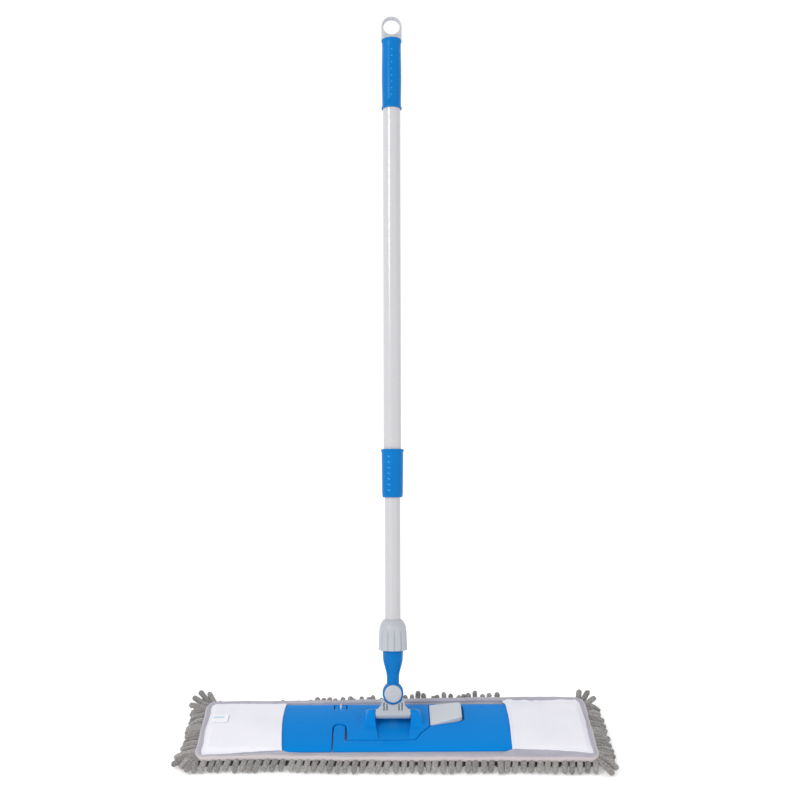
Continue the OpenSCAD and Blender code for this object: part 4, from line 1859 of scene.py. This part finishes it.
@dataclass
class FoldingFrame:
    """The two frame mouldings and the pedal; sizes in mm."""

    front: float = -65.0
    back: float = 47.0
    left: float = -248.0
    right: float = 258.0
    corner: float = 9.0
    boss_r: float = 18.4

    def build(self) -> None:
        """Builds and dresses the frame."""
        dressed(self._left(), Body.FRAME, Slot.FRAME_BLUE, "frame_left")
        dressed(self._right(), Body.WING, Slot.FRAME_BLUE, "frame_right")
        dressed(self._pedal(), Body.PEDAL, Slot.JOINT_GREY, "pedal")
        hinge = Axis((FOLD_X, 0, 23.8), (0, 1, 0), (0, 0, 1), (1, 0, 0))
        pin = turned(
            "hinge_pin_back_core", hinge,
            [(0, 18.5), (1.3, 18.5), (1.5, 18.8), (1.5, 44.2), (1.3, 44.5), (0, 44.5)], STEEL, 32
        )
        dressed(pin, home("hinge_pin_back"), Slot.STEEL, "hinge_pin_back")

    def _block_top(self, x: np.ndarray, y: np.ndarray) -> np.ndarray:
        """The left moulding's top, with the two bearing humps.

        Args:
            x: place from left to right, in mm.
            y: place from front to back, in mm.

        Returns:
            Heights in mm.
        """
        plain = crown_height(y, 8.0)
        ahead = 25 + 1.219 * (y + 19)
        behind = 25 + 1.054 * (21 - y)
        cap = 43.9 - y**2 / 16.0
        across = AXLE_Z - 10 + np.sqrt(np.maximum(self.boss_r**2 - (np.abs(x) - 22.7) ** 2, 0.01))
        hump = smooth_min(smooth_min(smooth_min(ahead, behind, 6.0), cap, 3.0), across, 3.0)
        hump = np.where(np.abs(x) > 41.5, 0.0, hump)
        return smooth_max(plain, hump, 4.0)

    def _left(self) -> bpy.types.Object:
        """The left wing and the centre block.

        Returns:
            The moulding.
        """
        outline = soften([(self.left, self.front, self.corner), (-83, self.front, 1.2), (-83, -19)])
        outline += arc((FOLD_X, -19), 9.5, 180, 0, 20)[1:-1]
        outline += soften(
            [(-63.9, -19), (-61.6, -45, 1.5), (-19.2, -45, 1.0), (-24.7, -8, 2.0),
             (-24.7, 12.5, 2.0), (24.7, 12.5, 2.0),
             (24.7, -8, 2.0), (19.2, -45, 1.0), (30, -45, 3.0), (38, -30, 3.0), (50, -16, 3.0),
             (50, self.back, 1.5),
             (self.left, self.back, self.corner)], closed=False
        )[:-1]
        outline += soften(
            [(50, self.back), (self.left, self.back, self.corner), (self.left, self.front)], closed=False
        )[1:-1]
        notch = [(-83, 27.9), (-83, 40.1), (-64, 40.1), (-64, 27.9)]
        shell = Plate(
            [outline, notch], self._block_top, flat_at(20.2), ease=0.9, step=4.0,
            fine=[(-46, -24, -24, 26, 1.0), (24, 46, -24, 26, 1.0)]
        )

        def floor_z(x: np.ndarray, y: np.ndarray) -> np.ndarray:
            """Height of the block's floor between the humps."""
            return np.interp(y, [-46, -3, 9, 14], [25.2, 22.3, 22.3, 23.6])

        floor = Plate(
            [[(-25.2, -44.6), (25.2, -44.6), (25.2, 13.0), (-25.2, 13.0)]], floor_z, flat_at(20.4),
            ease=0.3, step=3.0
        )
        return joined(
            "frame_shell_left",
            [shell.build("left_shell", FRAME_BLUE), floor.build("left_floor", FRAME_BLUE)]
        )

    def _right(self) -> bpy.types.Object:
        """The right wing with its front arm, knuckles and pedal well.

        Returns:
            The moulding.
        """
        outline = soften(
            [(-81.5, self.front, 1.0), (self.right, self.front, self.corner),
             (self.right, self.back, self.corner),
             (50.6, self.back, 1.0), (50.6, 35.8, 0.6), (98.5, 35.8, 1.5), (98.5, 0, 2.5), (93.6, -3.4, 2.5),
             (50.6, -14.0, 1.0), (50.6, -16.3, 1.0), (38.5, -30.4, 3.0), (30.3, -45.6, 3.0),
             (-65.5, -45.6, 1.5), (-65.5, -18.6)]
        )
        outline += arc((FOLD_X, -18.6), 8.0, 0, 180, 18)[1:]

        def top(x: np.ndarray, y: np.ndarray) -> np.ndarray:
            """Top of the wing."""
            return crown_height(y, 6.8)

        shell = Plate([outline], top, flat_at(20.0), ease=0.9, step=4.0)
        well = Plate(
            [[(50.2, -14.5), (99, -3.4), (99, 36.2), (50.2, 36.2)]], flat_at(21.2), flat_at(20.05),
            ease=0.3, step=6.0
        )
        knuckle = Plate(
            [[(-81.5, 28.5), (-65.5, 28.5), (-65.5, 39.5), (-81.5, 39.5)]], top, flat_at(20.0), ease=1.0,
            step=2.0
        )
        arm = Plate(
            [[(-73.5, 30), (56, 30), (56, 39.5), (-73.5, 39.5)]], flat_at(21.9), flat_at(20.05), ease=0.3,
            step=8.0
        )
        parts = [shell.build("right_shell", FRAME_BLUE), well.build("right_well", FRAME_BLUE)]
        parts += [knuckle.build("right_knuckle", FRAME_BLUE), arm.build("right_arm", FRAME_BLUE)]
        return joined("frame_shell_right", parts)

    def _pedal(self) -> bpy.types.Object:
        """The foot pedal.

        Returns:
            The pedal.
        """
        plan = soften(
            [
                (51, -12.6, 0.6), (52.5, -13, 0.6), (91.5, -3, 3.0), (95, -0.6, 2.0), (96, 2, 2.0),
                (96, 31.5, 2.5), (93, 35, 2.5), (51, 35, 1.2)
            ]
        )

        def top(x: np.ndarray, y: np.ndarray) -> np.ndarray:
            """Top of the pedal."""
            return np.interp(x, [51, 52, 92, 95, 96], [27.0, 27.7, 32.6, 32.0, 30.6])


        def base(x: np.ndarray, y: np.ndarray) -> np.ndarray:
            """The pedal's rim."""
            return np.interp(x, [51, 96], [24.4, 26.2])

        pedal = Plate([plan], top, base, ease=1.1, step=2.5).build("foot_pedal", JOINT_GREY)
        room = [(53, -10.4), (90.9, -0.9), (94, 2), (94, 31.5), (92.4, 33), (53, 33)]
        inside = Plate([room], lambda x, y: top(x, y) - 2, flat_at(20), ease=0, step=4.0)
        return carved(pedal, inside.build("pedal_room", JOINT_GREY))


@dataclass
class TwoWayJoint:
    """Bracket, swivel pin and neck; sizes in mm."""

    barrel_r: float = 6.5
    barrel_half: float = 24.2
    eye_r: float = 14.4

    def build(self) -> None:
        """Builds and dresses the joint."""
        dressed(self._bracket(), Body.BRACKET, Slot.JOINT_GREY, "bracket")
        dressed(self._neck(), home("neck"), Slot.FRAME_BLUE, "neck")
        cap = [
            (0, -9.15), (4.9, -9.15), (4.9, 9.2), (11.9, 9.2), (11.9, 10.3), (11.75, 10.75), (11.3, 11.1),
            (8, 11.7), (4, 11.95), (0, 12.0)
        ]
        dressed(
            turned("swivel_cap", PIN, cap, COLLAR_GREY), home("pivot_pin"), Slot.JOINT_GREY, "pivot_pin"
        )
        rear = [(0, -12.0), (7.6, -12.0), (8.6, -11.5), (9, -10.8), (9, -9.2), (0, -9.2)]
        dressed(
            turned("swivel_cap_rear", PIN, rear, COLLAR_GREY), home("pivot_cap_rear"), Slot.JOINT_GREY,
            "pivot_cap_rear"
        )

    def _bracket(self) -> bpy.types.Object:
        """The barrel, the ribbed cradle and the tongue in the neck's slot.

        Returns:
            The bracket.
        """
        h, r = self.barrel_half, self.barrel_r
        barrel = turned(
            "barrel", AXLE,
            [
                (2.6, -h), (r - 0.8, -h), (r - 0.2, -h + 0.3), (r, -h + 0.9), (r, h - 0.9),
                (r - 0.2, h - 0.3), (r - 0.8, h), (2.6, h)
            ],
            COLLAR_GREY
        )
        outline = soften(
            [(-23.8, -1.5), (23.8, -1.5), (23.8, 3.5, 2.0), (16, 11.5, 2.0), (16, 20, 0.8), (12.25, 20)],
            closed=False
        )
        outline += arc((0, PIN_S), 15.0, -35.5, -144.5, 28)[1:]
        outline += soften(
            [(-12.25, 20), (-16, 20, 0.8), (-16, 11.5, 2.0), (-23.8, 3.5, 2.0), (-23.8, -1.5)],
            closed=False
        )[1:-1]
        holes = []
        for x, high in ((-12.4, 16.0), (-8.3, 14.4), (8.3, 14.4), (12.4, 16.0)):
            holes.append([(x - 0.85, 5.5), (x - 0.85, high), (x + 0.85, high), (x + 0.85, 5.5)])
        place = POLE.spot
        front = Plate(
            [outline, *holes], flat_at(6.0), flat_at(1.8), ease=0.7, step=2.0, place=place
        ).build("cradle_front", COLLAR_GREY)
        back = Plate(
            [outline], flat_at(2.0), flat_at(-6.0), ease=0.0, ease_base=0.7, step=2.0, place=place
        ).build("cradle_back", COLLAR_GREY)
        tongue = turned("tongue", PIN, [(5.1, -3.9), (13.5, -3.9), (13.5, 3.9), (5.1, 3.9)], COLLAR_GREY)
        stem = Plate(
            [[(-9, 12), (9, 12), (9, 19), (-9, 19)]], flat_at(3.9), flat_at(-3.9), ease=0.3, step=4.0,
            place=place
        ).build("stem", COLLAR_GREY)
        return joined("tilt_bracket", [barrel, front, back, tongue, stem])

    def _neck(self) -> bpy.types.Object:
        """The forked eye, the waist and the threaded socket.

        Returns:
            The neck.
        """
        flare = [
            (8.5 + 5.4 * (1 - math.cos(math.pi * t)) / 2, 49 + 29 * t) for t in np.linspace(0, 1, 13)
        ]
        thread = []
        for i in range(8):
            thread += [
                (14.2, 89.4 + 3 * i), (14.95, 90.1 + 3 * i), (14.95, 91.0 + 3 * i), (14.2, 91.7 + 3 * i)
            ]
        profile = [
            (0, 33), (8.9, 33), (8.6, 44), *flare, (14.2, 86), (14.3, 87.3), (13.9, 87.5), *thread,
            (13.6, 113), (11.1, 113), (11.1, 73.8), (0, 73.8)
        ]
        shaft = turned("shaft", POLE, profile, GRIP_BLUE)
        slot = turned("slot", PIN, [(0, -4.2), (14.6, -4.2), (14.6, 4.2), (0, 4.2)], GRIP_BLUE)
        carved(shaft, slot)
        ears = []
        for side in (-1, 1):
            rim = [
                (5.0, 4.2), (self.eye_r, 4.2), (self.eye_r, 8.1), (self.eye_r - 0.3, 8.8),
                (self.eye_r - 1.1, 9.2), (5.0, 9.2)
            ]
            ears.append(turned("ear", PIN, [(r, side * d) for r, d in rim], GRIP_BLUE))
        return joined("swivel_neck", [shaft, *ears])


@dataclass
class TelescopicHandle:
    """Tubes, collar, sleeve, grip and hanging ring; sizes in mm along the pole."""

    collar_s: float = 87.5
    sleeve_s: float = 298.4
    grip_s: float = 855.4
    ring_s: float = 977.0
    ring_r: float = 14.65
    ring_hole: float = 11.9
    flutes: int = 12
    flute_turn: float = math.radians(8.4)

    def build(self) -> None:
        """Builds and dresses the handle."""
        dressed(
            turned("tube_lower", POLE, [(9.8, 74), (11, 74), (11, 720), (9.8, 720)], TUBE_GREY),
            home("lower_tube"), Slot.TUBE, "lower_tube"
        )
        dressed(
            turned("tube_upper", POLE, [(11.3, 303), (12.5, 303), (12.5, 955), (11.3, 955)], TUBE_GREY),
            home("upper_tube"), Slot.TUBE, "upper_tube"
        )
        dressed(self._collar(), home("collar_nut"), Slot.JOINT_GREY, "collar_nut")
        beads = bead_tree()
        sleeve, ribs = self._sleeve(beads)
        dressed(sleeve, home("lock_sleeve"), Slot.GRIP_BLUE, "lock_sleeve")
        dressed(ribs, home("lock_sleeve"), Slot.GRIP_BLUE)
        grip, bumps, vent = self._grip(beads)
        dressed(grip, home("grip"), Slot.GRIP_BLUE, "grip")
        dressed(bumps, home("grip"), Slot.GRIP_BLUE)
        dressed(vent, home("grip"), Slot.GRIP_BLUE)
        dressed(self._ring(), home("hang_cap"), Slot.JOINT_GREY, "hang_cap")

    def _collar(self) -> bpy.types.Object:
        """The fluted nut.

        Returns:
            The nut.
        """
        s = self.collar_s
        rise = [
            (15.25, 0), (19.4, 0), (20.05, 0.6), (20.0, 3), (19.85, 8), (19.6, 15), (19.4, 21),
            (19.2, 25), (18.9, 28), (18.7, 30.5), (18.1, 33), (17.2, 35.4), (16.0, 37.6), (14.7, 39.6),
            (13.3, 41.2), (11.9, 42), (11.3, 42), (11.3, 29), (15.25, 27.5)
        ]

        def swell(radius: float, station: float, turn: float) -> float:
            """Cuts the grooves into the nut's skirt.

            Args:
                radius: radius.
                station: distance up the pole.
                turn: angle round the pole.

            Returns:
                The radius there.
            """
            if radius < 15.5:
                return radius
            pitch = 2 * math.pi / self.flutes
            off = abs((turn - self.flute_turn + pitch / 2) % pitch - pitch / 2) * radius
            fade = float(1 - ease_in((station - s - 24) / 6.5))
            lobe = 0.3 * (off / (pitch * radius / 2)) ** 2
            return radius - 1.8 * math.exp(-((off / 1.35) ** 2)) * fade - lobe * fade * 0.6

        return turned("fluted_nut", POLE, [(r, s + d) for r, d in rise], COLLAR_GREY, 288, swell)

    def _sleeve(self, beads: Grower) -> tuple[bpy.types.Object, bpy.types.Object]:
        """The lock sleeve and its finger ribs.

        Args:
            beads: tree that grows the beads.

        Returns:
            The sleeve and its ribs.
        """
        s = self.sleeve_s
        wall = [
            (12.0, 0.8), (12.6, 0.2), (13.2, 0), (13.9, 0.8), (14.4, 2.6), (14.7, 6), (14.95, 33),
            (15.25, 62.8), (15.6, 63.6), (16.1, 64.4), (16.1, 66.5), (15.7, 67.3), (15.0, 67.6),
            (12.6, 67.6), (12.6, 5.5), (12.0, 5.5)
        ]
        sleeve = turned("sleeve_shell", POLE, [(r, s + d) for r, d in wall], GRIP_BLUE, 128)
        # The ribs take the lighter blue: a painted highlight.
        ribs = self._row(
            beads, "sleeve_ribs", 7, (-4.8, s + 10, 13.6), 7.8, (2.9, 1.3, 1.0), 25, BUMP_BLUE_HIGHLIGHT
        )
        return sleeve, ribs

    def _grip(self, beads: Grower) -> tuple[bpy.types.Object, ...]:
        """The grip, its finger bumps with a painted highlight, and a dark bead that paints the shadow in its vent.

        Args:
            beads: tree that grows the beads.

        Returns:
            The grip, its bumps and the painted shadow of its vent.
        """
        s = self.grip_s
        wall = [
            (12.6, 0.2), (14.1, 0), (14.45, 0.15), (14.6, 0.6), (14.5, 2.4), (14.0, 3.3), (13.6, 4),
            (13.5, 14), (13.75, 26), (14.0, 40), (14.05, 51), (13.95, 62), (13.7, 80), (13.6, 90),
            (13.65, 96.5), (13.9, 97.8), (14.4, 98.8), (14.65, 99.8), (14.65, 101.2), (14.4, 101.8),
            (14.0, 102), (12.6, 102)
        ]
        grip = turned("grip_shell", POLE, [(r, s + d) for r, d in wall], GRIP_BLUE, 128)
        # The bumps take the lighter blue: a painted highlight.
        bumps = self._row(
            beads, "grip_bumps", 8, (0, s + 51 - 33.25, 13.5), 9.5, (1.1, 1.2, 1.1), 0, BUMP_BLUE_HIGHLIGHT
        )
        # A small near-black bead on the grip's front: painted shadow of the vent.
        vent = self._row(
            beads, "grip_vent_painted_shadow", 1, (-3.7, s + 8.5, 12.75), 1.0, (0.9, 0.5, 0.9), 0, VENT_SHADOW_PAINT
        )
        return grip, bumps, vent

    def _row(
        self, beads: Grower, name: str, count: int, start: Triple, pitch: float, size: Triple,
        tilt: float, finish: MouldedPlastic
    ) -> bpy.types.Object:
        """A row of beads up the pole's front: start is (side, station, forward).

        Args:
            beads: tree that grows the beads.
            name: the piece's name.
            count: number of beads.
            start: first bead.
            pitch: distance between beads.
            size: size of one.
            tilt: lean in degrees.
            finish: finish of the surface.

        Returns:
            The row.
        """
        step = tuple(pitch * MM * c for c in UP_POLE)
        return beads.grow(
            name, line_guide(name + "_line", [np.zeros((2, 3))]), finish,
            Count=count, Start=POLE.spot(*start), Step=step, Size=tuple(v * MM for v in size), Tilt=math.radians(tilt),
        )

    def _ring(self) -> bpy.types.Object:
        """The hanging ring with its cap.

        Returns:
            The ring.
        """
        s0, s, r = 957.5, self.ring_s, self.ring_r
        outline = [(-r, s0), (r, s0), *arc((0, s), r, 0, 180, 40)]
        hole = arc((0, s), self.ring_hole, 0, -360, 40)[:-1]

        def half(x: np.ndarray, y: np.ndarray) -> np.ndarray:
            """Half the thickness, round at the cap and flat at the ring.

            Args:
                x: place from left to right, in mm.
                y: place from front to back, in mm.

            Returns:
                Half thicknesses in mm.
            """
            share = 1 - ease_in((y - s0) / 8.5)
            full = np.sqrt(np.maximum(14.3**2 - x**2, 1.5))
            return 4.75 + (np.maximum(full, 2.0) - 4.75) * share

        place = POLE.spot
        ring = Plate(
            [outline, hole], half, lambda x, y: -half(x, y), ease=1.3, ease_base=1.3, step=1.4,
            place=place
        )
        plug = turned(
            "plug", POLE, [(9.6, 930), (11.25, 930), (11.25, 955), (12.5, 955), (12.5, 959), (9.6, 959)],
            COLLAR_GREY
        )
        return joined("hanging_ring", [ring.build("ring_body", COLLAR_GREY), plug])


def home(node: str) -> Body:
    """The body that a CAD node rides on.

    Args:
        node: the CAD node's name.

    Returns:
        The body.
    """
    for body, nodes in frame["record"]["behaviour"]["bodies"].items():
        if node in nodes:
            return Body(body)
    raise KeyError(node)


def paint_kept_parts() -> None:
    """Gives the CAD parts that stay visible their finishes."""
    finishes = {
        "tilt_axle": STEEL, "hinge_pin_front": STEEL, "pedal_pin": STEEL,
        "pedal_spring": STEEL, "lock_core": INNER_GREY, "clamp_ring": INNER_GREY, "lock_expander": INNER_GREY,
        "guide_bush": INNER_GREY,
    }
    for node, finish in finishes.items():
        mesh = frame["nodes"][node].data
        mesh.materials.clear()
        mesh.materials.append(Rack.of(finish))
        log.info("%s keeps its shape and takes %s", node, finish.name)



@dataclass
class Studio:
    """Floor, lights and camera; lengths in metres."""

    lens: float = 53.7
    spot: Triple = (-0.0109, -1.4289, 0.9696)
    aim: Triple = (math.radians(-0.78), math.radians(71.59), math.radians(0.14))

    def build(self) -> None:
        """Sets the studio up."""
        scene = bpy.context.scene
        scene.view_settings.view_transform = "Standard"
        world = bpy.data.worlds.new("pale_room")
        world.use_nodes = True
        world.node_tree.nodes["Background"].inputs[0].default_value = (1, 1, 1, 1)
        world.node_tree.nodes["Background"].inputs[1].default_value = 0.80
        scene.world = world
        rings = [(0.0, 0.0), (8.0, 0.0), (40.0, 0.0), (52.0, 2.0), (60.0, 8.0), (64.0, 22.0)]
        steps = 96
        points = [
            (r * math.cos(2 * math.pi * k / steps), r * math.sin(2 * math.pi * k / steps), z)
            for r, z in rings[1:]
            for k in range(steps)
        ]
        faces: list[tuple[int, ...]] = [tuple(range(steps))]
        for i in range(len(rings) - 2):
            for k in range(steps):
                a, b, n = i * steps, (i + 1) * steps, (k + 1) % steps
                faces.append((a + k, b + k, b + n, a + n))
        mesh = bpy.data.meshes.new("floor")
        mesh.from_pydata(points, [], faces)
        floor = bpy.data.objects.new("floor", mesh)
        scene.collection.objects.link(floor)
        paint = Recipe("floor_paint")
        tone = paint.noise(paint.place(), 0.6, 2.0)
        mesh.materials.append(
            paint.finish(
                {"Base Color": paint.tint(tone, (0.90, 0.90, 0.90), (0.92, 0.92, 0.92))},
                {
                    "Roughness": 0.9, "Specular IOR Level": 0.1, "Emission Color": (1, 1, 1, 1),
                    "Emission Strength": 0.27
                },
            )
        )
        self._lamp("key", (-1.6, -1.3, 2.2), 0.9, 20.0)
        self._strip("edge", (-1.05, -1.22, 1.33), (0.0, 0.2, 0.5), (0.0, 0.35, 1.74), (0.10, 1.9), 4.0)
        self._lamp("fill", (1.6, -1.2, 1.5), 1.6, 4.0)
        yaw, pitch, roll = (Matrix.Rotation(a, 3, axis) for a, axis in zip(self.aim, "ZXZ", strict=True))
        camera = bpy.data.objects.new("camera", bpy.data.cameras.new("camera"))
        camera.data.lens = self.lens
        camera.data.sensor_width = 36.0
        camera.location, camera.rotation_euler = self.spot, (yaw @ pitch @ roll).to_euler()
        scene.collection.objects.link(camera)
        scene.camera = camera

    def _strip(
        self, name: str, spot: Triple, aim: Triple, along: Triple, size: Pair, power: float
    ) -> None:
        """Adds a narrow lamp that draws one long highlight down the handle.

        Args:
            name: the lamp's name.
            spot: place in metres.
            aim: point it faces.
            along: direction of its long side.
            size: width and length in metres.
            power: power in watts.
        """
        light = bpy.data.lights.new(name, "AREA")
        light.shape, light.energy = "RECTANGLE", power
        light.size, light.size_y = size
        back = (Vector(spot) - Vector(aim)).normalized()
        up = (Vector(along) - back * Vector(along).dot(back)).normalized()
        obj = bpy.data.objects.new(name, light)
        obj.matrix_world = Matrix.Translation(Vector(spot)) @ Matrix(
            (up.cross(back), up, back)
        ).transposed().to_4x4()
        bpy.context.scene.collection.objects.link(obj)

    def _lamp(self, name: str, spot: Triple, size: float, power: float) -> None:
        """Adds a soft lamp that looks at the mop.

        Args:
            name: the lamp's name.
            spot: place in metres.
            size: width of the lamp in metres.
            power: power in watts.
        """
        light = bpy.data.lights.new(name, "AREA")
        light.size, light.energy = size, power
        obj = bpy.data.objects.new(name, light)
        obj.location = spot
        obj.rotation_euler = (Vector((0, 0.1, 0.3)) - Vector(spot)).to_track_quat("-Z", "Y").to_euler()
        bpy.context.scene.collection.objects.link(obj)


def main() -> None:
    """Builds the mop and its studio."""
    logging.basicConfig(level=logging.INFO, format="%(message)s")
    Studio().build()
    FoldingFrame().build()
    TwoWayJoint().build()
    TelescopicHandle().build()
    ChenillePad().build()
    paint_kept_parts()


if __name__ == "__main__":
    main()
